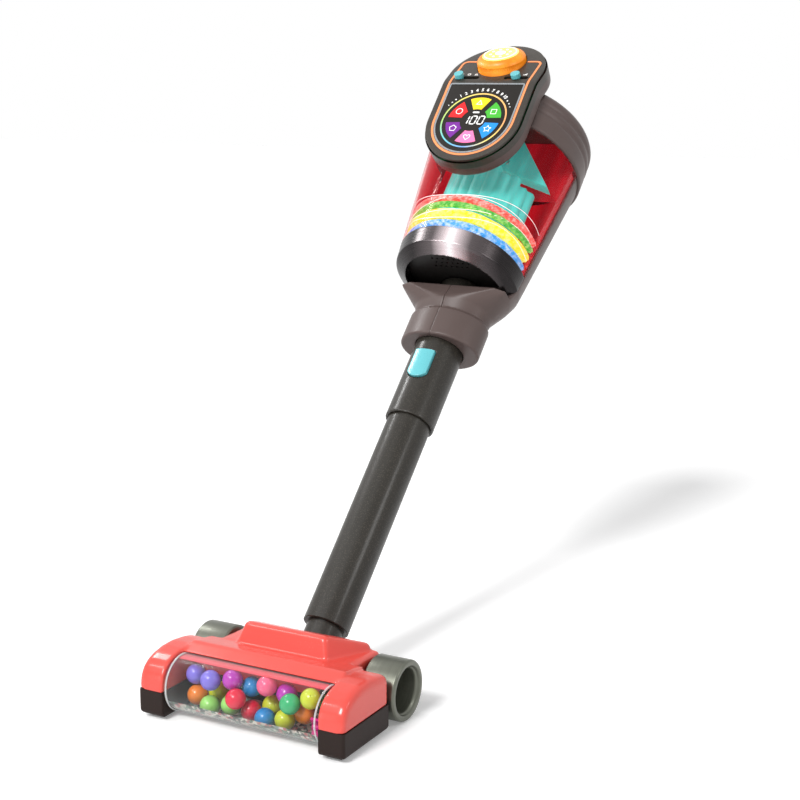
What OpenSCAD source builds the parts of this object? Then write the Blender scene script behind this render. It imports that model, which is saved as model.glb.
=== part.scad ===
// Toy stick vacuum cleaner: floor head with popping balls, wand, and a hand unit with a light panel.
// Millimetres. X right, Y back, Z up. The origin is the centre of the glide strip under the head.

/* [Head] */
// Width of the floor head over the cheeks
head_w = 210; // [200:1:216]
// Depth of the cheeks from front to rear
cheek_d = 75.5; // [75:0.5:77]
// Height of the parting line between the base and the shell
part_z = 26; // [24:0.5:28]
// Ground clearance under the base
base_z = 3; // [2.5:0.5:4]
// Outer radius of the clear ball window
window_r = 26; // [25.5:0.1:26]
// Wall of the clear ball window
window_t = 1.5; // [1:0.1:1.6]
// Width of a cheek at each end of the ball window
cheek_w = 26; // [24:0.5:28]
// Gap between the ball window and its seat
window_c = 0.3; // [0.25:0.05:0.4]
// Depth of the window axis behind the front
window_y = 26.5; // [26:0.5:27]
// Height of the window axis above the floor
window_z = 28.5; // [28.5:0.5:30]
// Diameter of a popping ball
ball_d = 18; // [14:0.5:18]
// Height of the ridge of the shell behind the window
ridge_z = 60; // [58:0.5:62]
// Height of the hump over the wand pivot
hump_z = 75; // [70:0.5:77]
// Half width of the hump at its top
hump_hw = 44; // [40:1:48]
// Depth of the glide strip behind the front, measured to its middle
glide_y = 64; // [63:0.5:66]
// Width of the glide strip from front to rear
glide_w = 14; // [10:0.5:14]

/* [Wheels] */
// Radius of a rear wheel
wheel_r = 27.4; // [26.5:0.1:27.5]
// Width of a rear wheel
wheel_w = 33; // [28:0.5:33]
// Radius of the open bore of a rear wheel
wheel_bore_r = 20; // [16:0.5:22]
// Distance that a wheel stands out past the head
wheel_out = 2.3; // [1.5:0.1:3]
// Depth of the axle behind the front
axle_y = 105.5; // [105:0.5:107]
// Radius of the axle
axle_r = 3; // [2.5:0.1:3]
// Radial clearance of running shafts
run_c = 0.06; // [0.03:0.01:0.1]
// Radius of the belt groove of a pulley
pulley_r = 8; // [7.5:0.1:8]
// Gap between a belt and its pulley
belt_c = 0.35; // [0.3:0.05:0.4]

/* [Wand] */
// Lean of the wand from upright as photographed, degrees
lean = 45; // [43:0.5:47]
// Distance of the wand axis behind the axle
wand_y = 7; // [6:0.5:8]
// Outer radius of the lower tube
low_r = 17.5; // [17:0.1:17.6]
// Outer radius of the middle tube
mid_r = 22; // [21.5:0.1:22.2]
// Outer radius of the upper sleeve
slv_r = 25; // [24.8:0.1:25]
// Distance along the wand to the lower end of the middle tube
mid_t = 46; // [44:1:50]
// Distance along the wand to the lower end of the sleeve
slv_t = 272; // [264:1:280]
// Distance along the wand to the upper end of the sleeve
slv_end = 438; // [430:1:440]
// Width of the release button
rel_w = 21; // [18:0.5:22]
// Length of the release button
rel_l = 33; // [30:0.5:34]
// Travel of the release button
rel_travel = 2.2; // [1.5:0.1:2.5]
// Gap around a sliding button
key_c = 0.4; // [0.35:0.05:0.5]

/* [Hand unit] */
// Distance along the wand to the lower edge of the collar
col_t = 362; // [360:1:364]
// Half width of the collar
col_a = 43; // [42:0.5:45]
// Half depth of the collar
col_b = 32; // [31:0.5:33]
// Gap between the sleeve and its socket
socket_c = 0.4; // [0.35:0.05:0.5]
// Distance from the lower edge of the collar to the top of the canister ring
neck_h = 92; // [91:0.5:94]
// Outer radius of the canister at the ring
can_r0 = 68; // [67:0.5:69]
// Widening of the canister from the ring to the cap
can_flare = 14; // [12:0.5:15]
// Distance of the canister axis ahead of the axle line
can_f = 13; // [12:0.5:14]
// Wall of the canister
can_wall = 2; // [1.6:0.1:2.5]
// Wall of the grey shells
body_wall = 3; // [2.4:0.1:3]
// Height of the canister between its ring and the cap
can_h = 137; // [130:0.5:145]
// Height of the cap
cap_h = 50; // [46:0.5:52]
// Overhang of the cap over the canister
cap_lip = 2.4; // [2:0.1:3]
// Diameter of the grip bar
grip_d = 22; // [18:0.5:24]

/* [Panel] */
// Radius of the ends of the face plate
plate_r = 52; // [50:0.5:53]
// Distance from the dial centre up to the fold of the panel
fold_w = 52; // [51:0.5:54]
// Lean of the upper part of the panel against the lower part, degrees
bend = 17; // [15:1:18]
// Distance from the fold up to the centre of the top end of the panel
top_l = 20; // [19:0.5:22]
// Thickness of the face plate
plate_t = 3; // [2.5:0.1:3.5]
// Depth of the panel housing
house_d = 25; // [24:0.5:26]
// Half width and end radius of the dial window
dial_r = 41.5; // [38:0.5:42]
// Radius of the light button
lamp_r = 26; // [24:0.5:26.5]
// Travel of the light button
lamp_travel = 2.5; // [1.5:0.1:2.5]
// Tilt of the light button against the upper part of the panel, degrees
lamp_tilt = 9; // [7:1:10]
// Distance of the light button from the fold of the panel
lamp_w = 37; // [36:0.5:38]
// Distance of the slider slots from the fold of the panel
slot_w = 8; // [7.5:0.1:8.5]
// Distance of the middle of a slider slot from the centre line
slot_x = 28; // [27.5:0.1:28.5]
// Length of a slider slot
slot_l = 26; // [24:0.5:27]
// Height of a slider slot
slot_h = 5; // [4.5:0.1:6]
// Width of a slider stem
knob_w = 7; // [6:0.5:8]
// Radius of a slider knob
knob_r = 5; // [4.5:0.1:5.2]

/* [Hidden] */
$fn = 64;
eps = 0.01;
axle_z = wheel_r;
can_y = -can_f;
split_y = -3;
lay_y = 62.5;
lay_z = 20;
pop_y = 23;
pop_z = 16.5;
half_w = head_w / 2;
window_hl = half_w - cheek_w;
wheel_x = half_w + wheel_out - wheel_w;
deck_x = wheel_x - 3.3;
drive_x = deck_x - 15;
cheek_x = window_hl + 10;
ring_t = col_t + neck_h;
cap_t = ring_t + can_h;
cap_top = cap_t + cap_h;
can_r1 = can_r0 + can_flare;
cap_r = can_r1 + cap_lip;
tray_t = cap_top - 63;
panel_y = -can_f - can_r1 - 8;
panel_z = cap_t - 15.5;
panel_tilt = 2.6;
travel = slot_l - knob_w - 2 * key_c;
switch_y = 9.3 + lamp_travel;
back_t = tray_t - 1;
back_a = can_r0 - body_wall - 3;
back_g = (can_r1 - can_r0) * (back_t - ring_t) / (cap_t - ring_t);

// Frames
module at_head() translate([0, -glide_y, 0]) children();
module at_wand() translate([0, axle_y - glide_y, axle_z]) rotate([-lean, 0, 0]) children();
module at_panel() at_wand() translate([0, panel_y, panel_z]) rotate([panel_tilt, 0, 0]) children();
module at_top() translate([0, 0, fold_w]) rotate([-bend, 0, 0]) children();
module at_lamp() at_panel() at_top() translate([0, 0, lamp_w]) rotate([-lamp_tilt, 0, 0]) children();
module along_x(x0, x1) translate([x0, 0, 0]) rotate([90, 0, 90]) linear_extrude(x1 - x0) children();
module rod_x(y, z, r, x0, x1) translate([x0, y, z]) rotate([0, 90, 0]) cylinder(r = r, h = x1 - x0);
module facing(d0, d1) translate([0, d1, 0]) rotate([90, 0, 0]) linear_extrude(d1 - d0) children();
module both() { children(); mirror([1, 0, 0]) children(); }

// A round wire wound to a coil along +Z
module coil(r, wire, h, turns) {
    n = turns * 8;
    pts = [for (i = [0 : n]) let (a = i * 45, z = wire + (h - 2 * wire) * i / n)
        for (k = [0 : 5]) let (b = k * 60)
            [(r + wire * cos(b)) * cos(a), (r + wire * cos(b)) * sin(a), z + wire * sin(b)]];
    faces = concat([[for (k = [0 : 5]) k]], [for (i = [0 : n - 1]) for (k = [0 : 5])
        [i * 6 + k, (i + 1) * 6 + k, (i + 1) * 6 + (k + 1) % 6, i * 6 + (k + 1) % 6]],
        [[for (k = [0 : 5]) n * 6 + 5 - k]]);
    polyhedron(pts, faces, convexity = 6);
}

// Floor head
module cheek_profile() polygon([[0, part_z], [0.3, 35], [2.5, 42], [6.5, 47.5], [12, 51.5], [20, 54.5],
    [32, 57], [45, 57.5], [60, 56], [70, 54], [cheek_d - 1.5, 52], [cheek_d, 50], [cheek_d, part_z]]);
module slice(x, inset) along_x(x - eps, x + eps) offset(delta = -inset) children();
module cheek() hull() {
    slice(window_hl + 0.2, 0) cheek_profile();
    slice(head_w / 2 - 6, 0) cheek_profile();
    translate([0, 0, -0.8]) slice(head_w / 2 - 2, 0.8) cheek_profile();
    translate([0, 0, -3]) slice(head_w / 2 - 0.3, 3) cheek_profile();
}
module bridge() hull() {
    along_x(-window_hl - 1, window_hl + 1)
        polygon([[30, part_z], [29, 53], [31, 55], [44, ridge_z - 0.6], [47, ridge_z],
        [50, ridge_z - 0.3], [68, 56], [cheek_d, 55], [cheek_d, part_z]]);
}
module deck() hull() {
    both() translate([deck_x - 11, 70, part_z + 1]) cylinder(r = 5, h = 29);
    both() translate([deck_x - 8, 82, part_z + 1]) cylinder(r = 8, h = 26, $fn = 32);
    both() translate([deck_x - 5, 118, 48]) sphere(r = 5, $fn = 24);
    both() translate([deck_x - 5, 121, part_z + 1]) cylinder(r = 5, h = 10, $fn = 32);
}
module hump() hull() {
    both() translate([hump_hw - 5, 78, hump_z - 5]) sphere(r = 5, $fn = 24);
    both() translate([hump_hw + 2, 69, 52]) sphere(r = 3, $fn = 24);
    both() translate([deck_x - 13, 115, 55]) sphere(r = 5, $fn = 24);
    both() translate([deck_x - 11, 119, 40]) sphere(r = 5, $fn = 24);
    both() translate([hump_hw + 6, 90, 40]) sphere(r = 5, $fn = 24);
}
module wand_slot() {
    along_x(-20, 20) polygon([[94.2, 31.5], [118.1, 97.3], [190, 97.3], [190, -5], [105, -5], [94.2, 20]]);
    rod_x(axle_y, axle_z, 16.6, -20, 20);
}
module window_space() {
    rod_x(window_y, window_z, window_r + window_c, -window_hl - window_c, window_hl + window_c);
    along_x(-window_hl - window_c, window_hl + window_c) polygon([[-5, -5], [-5, 70], [29, 70],
        [window_y, window_z], [window_y, -5]]);
}
module head_shell() color("tomato") difference() {
    union() {
        both() cheek();
        bridge();
        deck();
        hump();
    }
    window_space();
    hull() along_x(-window_hl, window_hl)
        polygon([[44, part_z - 1], [46, 50], [50, 57], [66, 53], [73, 52], [73, part_z - 1]]);
    both() hull() along_x(window_hl + 3, half_w - 3)
        polygon([[3, part_z - 1], [4, 38], [8, 45], [20, 51], [45, 54], [73, 49.5], [73, part_z - 1]]);
    hull() both() {
        translate([deck_x - 9, 73, part_z - 1]) cylinder(r = 3, h = 24, $fn = 16);
        translate([deck_x - 6, 119, part_z - 1]) cylinder(r = 3, h = 17, $fn = 16);
    }
    hull() both() {
        translate([hump_hw - 4, 80, 50]) sphere(r = 3, $fn = 16);
        translate([hump_hw - 6, 81, hump_z - 8]) sphere(r = 3, $fn = 16);
        translate([deck_x - 17, 113, 52]) sphere(r = 3, $fn = 16);
        translate([deck_x - 17, 113, 42]) sphere(r = 3, $fn = 16);
    }
    both() hull() {
        rod_x(axle_y, axle_z, 7.9, deck_x - 11, deck_x + 5);
        translate([deck_x - 11, axle_y - 9.5, 18]) cube([16, 19, 8]);
    }
    wand_slot();
}
module base_outline(inset) polygon([[-head_w / 2 + 1.5 + inset, inset], [-head_w / 2 + inset, 1.5 + inset],
    [-head_w / 2 + inset, cheek_d - inset], [head_w / 2 - inset, cheek_d - inset],
    [head_w / 2 - inset, 1.5 + inset], [head_w / 2 - 1.5 - inset, inset]]);
module head_base() color("#37302c") difference() {
    union() {
        hull() {
            translate([0, 0, base_z]) linear_extrude(eps) base_outline(3);
            translate([0, 0, base_z + 1]) linear_extrude(eps) base_outline(0.9);
            translate([0, 0, base_z + 3]) linear_extrude(part_z - base_z - 3) base_outline(0);
        }
        hull() both() translate([deck_x - 5, 76, 9]) cylinder(r = 5, h = part_z - 9, $fn = 32);
        hull() both() {
            translate([deck_x - 5, cheek_d + 5.2, 10]) cylinder(r = 5, h = part_z + 1 - 10, $fn = 32);
            translate([deck_x - 5, 121, 14]) cylinder(r = 5, h = part_z + 1 - 14, $fn = 32);
        }
        both() hull() {
            translate([deck_x - 7, 97, 20]) cube([6, 17, 8]);
            rod_x(axle_y, axle_z, 7.5, deck_x - 7, deck_x - 1);
        }
        both() hull() {
            translate([21, 97, 16]) cube([4, 17, 8]);
            rod_x(axle_y, axle_z, 7.5, 21, 25);
        }
    }
    window_space();
    both() hull() along_x(window_hl + 3, half_w - 3)
        polygon([[4, base_z + 2], [4, part_z + 1], [73, part_z + 1], [73, base_z + 2]]);
    hull() along_x(-window_hl + 1, window_hl - 1)
        polygon([[56, base_z + 3], [56, part_z + 1], [73, part_z + 1], [73, base_z + 3]]);
    hull() translate([-half_w + 21, 57, 10]) cube([head_w - 42, 10, 30]);
    difference() {
        hull() both() {
            translate([deck_x - 7, 72, 11]) cylinder(r = 4, h = 32, $fn = 24);
            translate([deck_x - 7, 118, 17]) cylinder(r = 4, h = 30, $fn = 24);
        }
        both() hull() {
            translate([deck_x - 7, 97, 0]) cube([6, 17, 28]);
            rod_x(axle_y, axle_z, 7.5, deck_x - 7, deck_x - 1);
        }
        both() hull() {
            translate([21, 97, 0]) cube([4, 17, 24]);
            rod_x(axle_y, axle_z, 7.5, 21, 25);
        }
    }
    rod_x(axle_y, axle_z, 5, -deck_x, 11 - deck_x);
    rod_x(axle_y, axle_z, 5, deck_x - 11, deck_x);
    rod_x(axle_y, axle_z, axle_r + 0.8, 7 - deck_x, deck_x - 7);
    rod_x(lay_y, lay_z, 10.4, drive_x - 7, drive_x + 7);
    rod_x(lay_y, lay_z, 2.5 + run_c, drive_x - 16, half_w - 1.5);
    rod_x(pop_y, pop_z, 2.5 + run_c, window_hl - 1, half_w - 1.5);
    wand_slot();
}
module ball_window() color("#e8f2f4", 0.3) difference() {
    rod_x(window_y, window_z, window_r, -window_hl, window_hl);
    rod_x(window_y, window_z, window_r - window_t, -window_hl + window_t, window_hl - window_t);
    rod_x(pop_y, pop_z, 2.5 + run_c, window_hl - 4, window_hl + 1);
}
module glide_strip() color("#2a2624") {
    translate([15 - half_w, glide_y - glide_w / 2, 0]) cube([head_w - 30, glide_w, base_z]);
    both() translate([half_w - 21, 8, 0]) cube([14, glide_y - 8, base_z]);
}
module ball(x, y, z) translate([x * window_hl / 79, y, z]) sphere(d = ball_d);
module balls_violet() color("#7f74d8") { ball(-63, 28.5, 37.5); ball(-39.5, 17, 40); }
module balls_magenta() color("#b52fb0") { ball(-19.5, 22, 42.5); ball(31, 29.5, 37); }
module balls_blue() color("#1486c8") { ball(-7, 33, 35); ball(15, 19, 15.5); }
module balls_pink() color("#f2608a") ball(14.5, 24, 43);
module balls_yellow() color("#c9d42c") {
    ball(61, 20, 42);
    ball(33.5, 22, 17);
    ball(-45.5, 37, 21.5);
    ball(11.5, 36.5, 20);
}
module balls_orange() color("#ee8322") { ball(-60.5, 26, 19.5); ball(50, 28, 23.5); }
module balls_lime() color("#9be070") { ball(-43, 20, 15); ball(-21.5, 21.5, 19.5); }
module balls_red() color("#e01f3c") { ball(-10, 12, 30.5); ball(-2.5, 24, 17); }
module balls_green() color("#35b070") { ball(44, 14, 36); ball(63.5, 40, 35); }
module pulley(y, z, x) {
    rod_x(y, z, pulley_r, x - 4, x + 4);
    rod_x(y, z, pulley_r + 1.9, x - 5.2, x - 2.8);
    rod_x(y, z, pulley_r + 1.9, x + 2.8, x + 5.2);
}
module belt(y0, z0, y1, z1, x) along_x(x - 2.2, x + 2.2) difference() {
    hull() {
        translate([y0, z0]) circle(r = pulley_r + belt_c + 1.4);
        translate([y1, z1]) circle(r = pulley_r + belt_c + 1.4);
    }
    hull() {
        translate([y0, z0]) circle(r = pulley_r + belt_c);
        translate([y1, z1]) circle(r = pulley_r + belt_c);
    }
}
module popper_paddle() color("#d61f86") {
    rod_x(pop_y, pop_z, 2.5, window_hl - 17, half_w - 2);
    rod_x(pop_y, pop_z, 4, window_hl - 17, window_hl - 3);
    for (a = [30, 150, 270])
        translate([window_hl - 17, pop_y, pop_z]) rotate([a, 0, 0]) translate([0, -1.2, 0])
        cube([14, 2.4, 10.5]);
    pulley(pop_y, pop_z, cheek_x);
}
module popper_belt() color("#1d1a18") belt(pop_y, pop_z, lay_y, lay_z, cheek_x);
module lay_shaft() color("#c9c4b8") {
    rod_x(lay_y, lay_z, 2.5, drive_x - 12, half_w - 2);
    pulley(lay_y, lay_z, cheek_x);
    pulley(lay_y, lay_z, drive_x);
}
module drive_belt() color("#1d1a18") belt(lay_y, lay_z, axle_y, axle_z, drive_x);
module axle() color("#b4b4b0") rod_x(axle_y, axle_z, axle_r, -wheel_x - 10, wheel_x + 10);
module axle_pulley() color("#c9c4b8") difference() {
    pulley(axle_y, axle_z, drive_x);
    rod_x(axle_y, axle_z, axle_r, drive_x - 16, drive_x + 8);
}
module wheel() difference() {
    translate([wheel_x, axle_y, axle_z]) rotate([0, 90, 0]) rotate_extrude() polygon([[0, 0],
        [wheel_r - 1.5, 0], [wheel_r, 1.5], [wheel_r, wheel_w - 1.5], [wheel_r - 1.5, wheel_w],
        [wheel_bore_r + 1, wheel_w], [wheel_bore_r, wheel_w - 1], [wheel_bore_r - 0.6, 7], [8, 5], [8, 11],
        [0, 11]]);
    rod_x(axle_y, axle_z, axle_r, wheel_x - 1, wheel_x + 10);
}
module wheels() color("#73736c") both() wheel();
module axle_bushes() color("#e4e0d4") both() difference() {
    rod_x(axle_y, axle_z, 4.85, deck_x - 7, deck_x);
    rod_x(axle_y, axle_z, axle_r + run_c, deck_x - 8, deck_x + 1);
}
module head_screws() color("#9a9a98") both() for (y = [16, 68]) translate([half_w - 5, y, base_z + 0.2]) {
    cylinder(r = 2.5, h = 1.8);
    cylinder(r = 1.2, h = 8);
}

// Wand
module wand_knuckle() color("#24211f") difference() {
    union() {
        rod_x(0, 0, 15, -18.8, 18.8);
        translate([0, wand_y, 0]) cylinder(r = low_r - 2, h = 60);
    }
    rod_x(0, 0, axle_r + run_c, -30, 30);
    translate([0, wand_y, 30]) cylinder(r = low_r - 5, h = 40);
}
module lower_tube() color("#3f3c36") translate([0, wand_y, 0]) difference() {
    translate([0, 0, 18]) cylinder(r = low_r, h = 80);
    translate([0, 0, 17]) cylinder(r = low_r - 2, h = 90);
    translate([-30, -wand_y, 0]) rotate([0, 90, 0]) cylinder(r = 17.5, h = 60);
}
module middle_tube() color("#413e37") translate([0, wand_y, 0]) difference() {
    translate([0, 0, mid_t]) cylinder(r = mid_r, h = 256);
    translate([0, 0, mid_t - 1]) cylinder(r = low_r, h = 58);
    translate([0, 0, mid_t - 1]) cylinder(r = low_r - 0.5, h = 270);
}
module rel_outline(c) {
    translate([-rel_w / 2 - c, slv_t + 53]) square([rel_w + 2 * c, rel_l - 12 + c]);
    translate([0, slv_t + 53]) intersection() {
        translate([-rel_w / 2 - c, -14]) square([rel_w + 2 * c, 15]);
        circle(r = rel_w / 2 + 1.5 + c);
    }
}
module upper_sleeve() color("#35322c") difference() {
    translate([0, wand_y, 0]) difference() {
        translate([0, 0, slv_t]) cylinder(r = slv_r, h = slv_end - slv_t);
        translate([0, 0, slv_t - 1]) cylinder(r = mid_r, h = 200);
    }
    facing(wand_y - slv_r - 5, wand_y) rel_outline(key_c);
}
module latch_block() color("#c9c4b8") intersection() {
    translate([0, wand_y, slv_t + 28]) cylinder(r = mid_r, h = 80);
    translate([-9, 4, slv_t + 40]) cube([18, 40, 36]);
}
module release_button() color("#7ed0d6") {
    intersection() {
        facing(wand_y - slv_r - 6, -7) rel_outline(0);
        translate([0, wand_y, slv_t + 28]) cylinder(r = slv_r + 2.4, h = 80);
    }
    facing(-9, -7) rel_outline(1.2);
}
module release_spring() color("#c0c0bc")
    translate([0, -7, slv_t + 59]) rotate([-90, 0, 0]) coil(4, 0.5, 11, 5);

// Hand unit: shells
module oval(t, a, b, y, h) translate([0, y, t]) scale([a, b, 1]) cylinder(r = 1, h = h, $fn = 72);
module cone_solid(g, top = 0) translate([0, can_y, 0]) rotate_extrude($fn = 96)
    polygon(concat([[0, ring_t - 14], [can_r0 - 1.6 - g, ring_t - 14], [can_r0 - g, ring_t],
        [can_r1 - g, cap_t]],
        top > 0 ? [[can_r1 - g, cap_t + top], [0, cap_t + top]] : [[0, cap_t]]));
module behind(y0) translate([-150, y0, 300]) cube([300, 200, 400]);
module neck(g) {
    hull() {
        oval(col_t + 32, col_a - 4 - g, col_b - 4 - g, wand_y, 1);
        oval(col_t + 46, col_a - g, col_b - 1 - g, wand_y - 1, 1);
    }
    hull() {
        oval(col_t + 46, col_a - g, col_b - 1 - g, wand_y - 1, 1);
        both() translate([can_r0 - 24 - g, can_y - 6 + g, ring_t - 28]) cylinder(r = 3, h = 1);
        intersection() {
            oval(ring_t - 28, can_r0 - 8 - g, can_r0 - 12 - g, can_y + 4, 1);
            behind(split_y - 12);
        }
    }
    hull() {
        intersection() {
            oval(ring_t - 28, can_r0 - 8 - g, can_r0 - 12 - g, can_y + 4, 1);
            behind(split_y);
        }
        intersection() {
            oval(ring_t - 15, can_r0 - 1.8 - g, can_r0 - 1.8 - g, can_y, 1);
            behind(split_y);
        }
    }
}
module pocket(g) hull() both() for (t = [ring_t + 32, cap_t - 25])
    translate([can_r0 - 47, can_y + can_r0 - 14 - g, t]) rotate([-90, 0, 0])
    cylinder(r = 12 + g, h = 80, $fn = 32);
module grip() {
    hull() for (t = [ring_t + 38, cap_t - 35]) translate([0, can_y + can_r1 + 11, t])
        scale([0.9, 1, 1]) sphere(d = grip_d, $fn = 32);
    for (s = [[ring_t + 38, ring_t + 14], [cap_t - 35, cap_t - 10]]) hull() {
        translate([0, can_y + can_r1 + 11, s[0]]) scale([0.9, 1, 1]) sphere(d = grip_d, $fn = 32);
        translate([0, can_y + can_r0 - 5, s[1]]) sphere(d = grip_d - 4, $fn = 24);
    }
}
module body_shell() {
    difference() {
        union() {
            hull() {
                oval(col_t, col_a - 1, col_b - 1, wand_y, 34);
                oval(col_t + 1, col_a, col_b, wand_y, 32);
            }
            neck(0);
            intersection() {
                cone_solid(0);
                behind(split_y);
            }
        }
        translate([0, wand_y, col_t - 1]) cylinder(r = slv_r + socket_c, h = 80, $fn = 96);
        intersection() {
            cone_solid(body_wall, 9);
            translate([-150, split_y - 9, ring_t - 10]) cube([300, 200, 220]);
        }
        pocket(0);
        translate([0, can_y - 7, ring_t - 27]) rotate([-17, 0, 0])
            translate([-60, -40, -40]) cube([120, 40, 60]);
    }
    difference() {
        intersection() {
            pocket(body_wall);
            cone_solid(1);
        }
        pocket(0);
    }
}
module hand_grip() color("#2b2826") difference() {
    grip();
    cone_solid(-0.25, 20);
}
module body_shell_left() color("#706563") intersection() {
    body_shell();
    translate([-200, -200, 300]) cube([200, 400, 400]);
}
module body_shell_right() color("#706563") intersection() {
    body_shell();
    translate([0, -200, 300]) cube([200, 400, 400]);
}
module low_outline(g) {
    circle(r = plate_r + g);
    translate([-plate_r - g, 0]) square([2 * (plate_r + g), fold_w + 30]);
}
module top_outline(g) {
    translate([0, top_l]) circle(r = plate_r + g);
    translate([-plate_r - g, -30]) square([2 * (plate_r + g), top_l + 30]);
}
module past_fold(z) translate([0, 0, fold_w]) rotate([-bend / 2, 0, 0]) translate([-150, -150, z]) cube(300);
module folded(d0, d1, g) {
    intersection() {
        facing(d0, d1) low_outline(g);
        past_fold(-300);
    }
    intersection() {
        at_top() facing(d0, d1) top_outline(g);
        past_fold(0);
    }
}
module panel_space(g) translate([0, panel_y, panel_z]) rotate([panel_tilt, 0, 0]) folded(-20, house_d, 2 + g);
module panel_front() translate([0, panel_y, panel_z]) rotate([panel_tilt, 0, 0]) {
    translate([-120, -60, -120]) cube([240, 60 + house_d, 240]);
    at_top() translate([-120, -60, -120]) cube([240, 60 + house_d, 240]);
}
module front(y0) translate([-150, y0 - 200, 300]) cube([300, 200, 400]);
module canister() color("#d81e2d", 0.45) difference() {
    intersection() {
        translate([0, can_y, ring_t]) rotate_extrude($fn = 128) polygon([[can_r0 - can_wall, 0], [can_r0, 0],
            [can_r1, cap_t - ring_t], [can_r1 - can_wall, cap_t - ring_t]]);
        front(split_y);
    }
    panel_space(0);
}
module back_bowl(g, e) intersection() {
    hull() {
        oval(ring_t + 0.4 - e, back_a - g, can_r0 - 32 - g, -4.5, eps);
        oval(back_t + e, back_a + back_g - g, can_r0 - 31 - g, -4.5, eps);
    }
    behind(-4.5);
}
module canister_back() color("#c81e2d") {
    difference() {
        back_bowl(0, 0);
        back_bowl(1.5, 1);
    }
    both() facing(-4.5, split_y) polygon([[back_a - 1.5, ring_t + 0.4], [can_r0 - can_wall - 1, ring_t + 0.4],
        [can_r0 - can_wall - 1 + back_g, back_t], [back_a + back_g - 1.5, back_t]]);
}
module canister_ring() color("#3a3636") intersection() {
    translate([0, can_y, 0]) rotate_extrude($fn = 128) polygon([[can_r0, ring_t], [can_r0 - 2, ring_t - 18],
        [can_r0 - 4, ring_t - 19.5], [can_r0 - 15, ring_t - 26], [can_r0 - 15, ring_t - 14],
        [can_r0 - 12, ring_t - 14], [can_r0 - 12, ring_t]]);
    front(split_y);
}
module speaker_grille() color("#141212") difference() {
    intersection() {
        translate([0, can_y, ring_t - 14]) cylinder(r = can_r0 - 12, h = 3);
        front(split_y);
    }
    for (i = [-3 : 3]) for (k = [0 : 2]) translate([i * 6 + (k % 2) * 3, can_y - 20 - k * 6, ring_t - 15])
        cylinder(r = 1.2, h = 5, $fn = 16);
    translate([34, can_y - 20, ring_t - 15]) cylinder(r = 2.4, h = 5);
}
module speaker() color("#4c4a48") translate([0, can_y - 27, ring_t - 11]) {
    cylinder(r = 24, h = 4);
    translate([0, 0, 4]) cylinder(r1 = 20, r2 = 12, h = 4);
}
module arrow_core() color("#4fc3bb") {
    intersection() {
        translate([0, can_y, ring_t - 3]) cylinder(r = can_r0 - 12, h = 3);
        front(split_y - 1);
    }
    for (i = [-5 : 5]) translate([(can_r0 - 22) * sin(i * 15), can_y - (can_r0 - 30) * cos(i * 15) + 4,
        ring_t - eps]) cylinder(r = 7, h = can_h - 29 - 3.4 * i + 5 * (i % 2) * (i % 2));
    translate([25 - can_r0, can_y - 14, ring_t - eps]) cube([2 * can_r0 - 50, 10, can_h - 37]);
    facing(can_y - 20, can_y - 6) polygon([[-can_r0 + 6, cap_t + 9], [can_r0 + 2, cap_t - 41],
        [8, cap_t + 41], [-8, cap_t + 41]]);
}
function cone_r(t) = can_r0 + can_flare * t / can_h;
module swirl(t, w) translate([0, can_y, ring_t + t]) rotate([0, 0, 175])
    rotate_extrude(angle = 190, $fn = 128)
    translate([cone_r(t) - can_wall - 0.2 - w, 0]) circle(r = w, $fn = 32);
module swirl_blue() color("#2f9fe0") swirl(7, 6);
module swirl_yellow() color("#f5e02a") swirl(20, 6);
module swirl_green() color("#3fb24a") swirl(30, 3.5);
module swirl_red() color("#f04040") swirl(38, 4);
module top_cap() color("#6b605e") difference() {
    translate([0, can_y, cap_t]) rotate_extrude($fn = 128) polygon([[0, 0], [cap_r - 1, 0], [cap_r, 1],
        [cap_r, 20], [cap_r - 1.2, 21], [cap_r - 1.2, 25], [cap_r, 26], [cap_r, 31], [cap_r - 1.2, 32],
        [cap_r - 1.2, 36], [cap_r, 37], [cap_r - 0.5, 43], [cap_r - 3, 47.5],
        [cap_r - 7.5, cap_h], [0, cap_h]]);
    translate([0, can_y, cap_t - 1]) cylinder(r = can_r1 - 2, h = cap_h - 3);
    panel_front();
    translate([-28, 6, cap_t]) cube([56, 30, cap_h + 1]);
    translate([-32, 2, cap_top - 2]) cube([64, 38, 3]);
    both() translate([can_r1 - 32, 20, cap_t]) cylinder(r = 1.5, h = 60);
}
module battery_tray() color("#2b2826") difference() {
    translate([-28, 6, tray_t]) cube([56, 30, 61]);
    translate([-26, 8, tray_t + 2]) cube([52, 26, 61]);
}
module batteries() color("#c8923c") for (i = [-1 : 1]) translate([i * 16.5, 21, tray_t + 4]) {
    cylinder(r = 7.2, h = 49);
    cylinder(r = 2.7, h = 51);
}
module battery_contacts() color("#d8d4c8") {
    translate([-25, 13, tray_t + 2]) cube([50, 16, 2]);
    translate([-25, 13, tray_t + 55]) cube([50, 16, 1]);
}
module battery_door() color("#6b605e") {
    translate([-31.8, 2.2, cap_top - 2]) cube([63.6, 37.6, 2]);
    for (i = [-2 : 2]) translate([i * 9 - 1.2, 8, cap_top - eps]) cube([2.4, 14, 0.8]);
    translate([-26, 13, tray_t + 56]) cube([52, 16, 5 + eps]);
}
module cap_screws() color("#9a9a98") both() translate([can_r1 - 32, 20, cap_top - 30]) {
    cylinder(r = 1.5, h = 30);
    translate([0, 0, 30]) cylinder(r = 3, h = 1.6);
}

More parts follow.
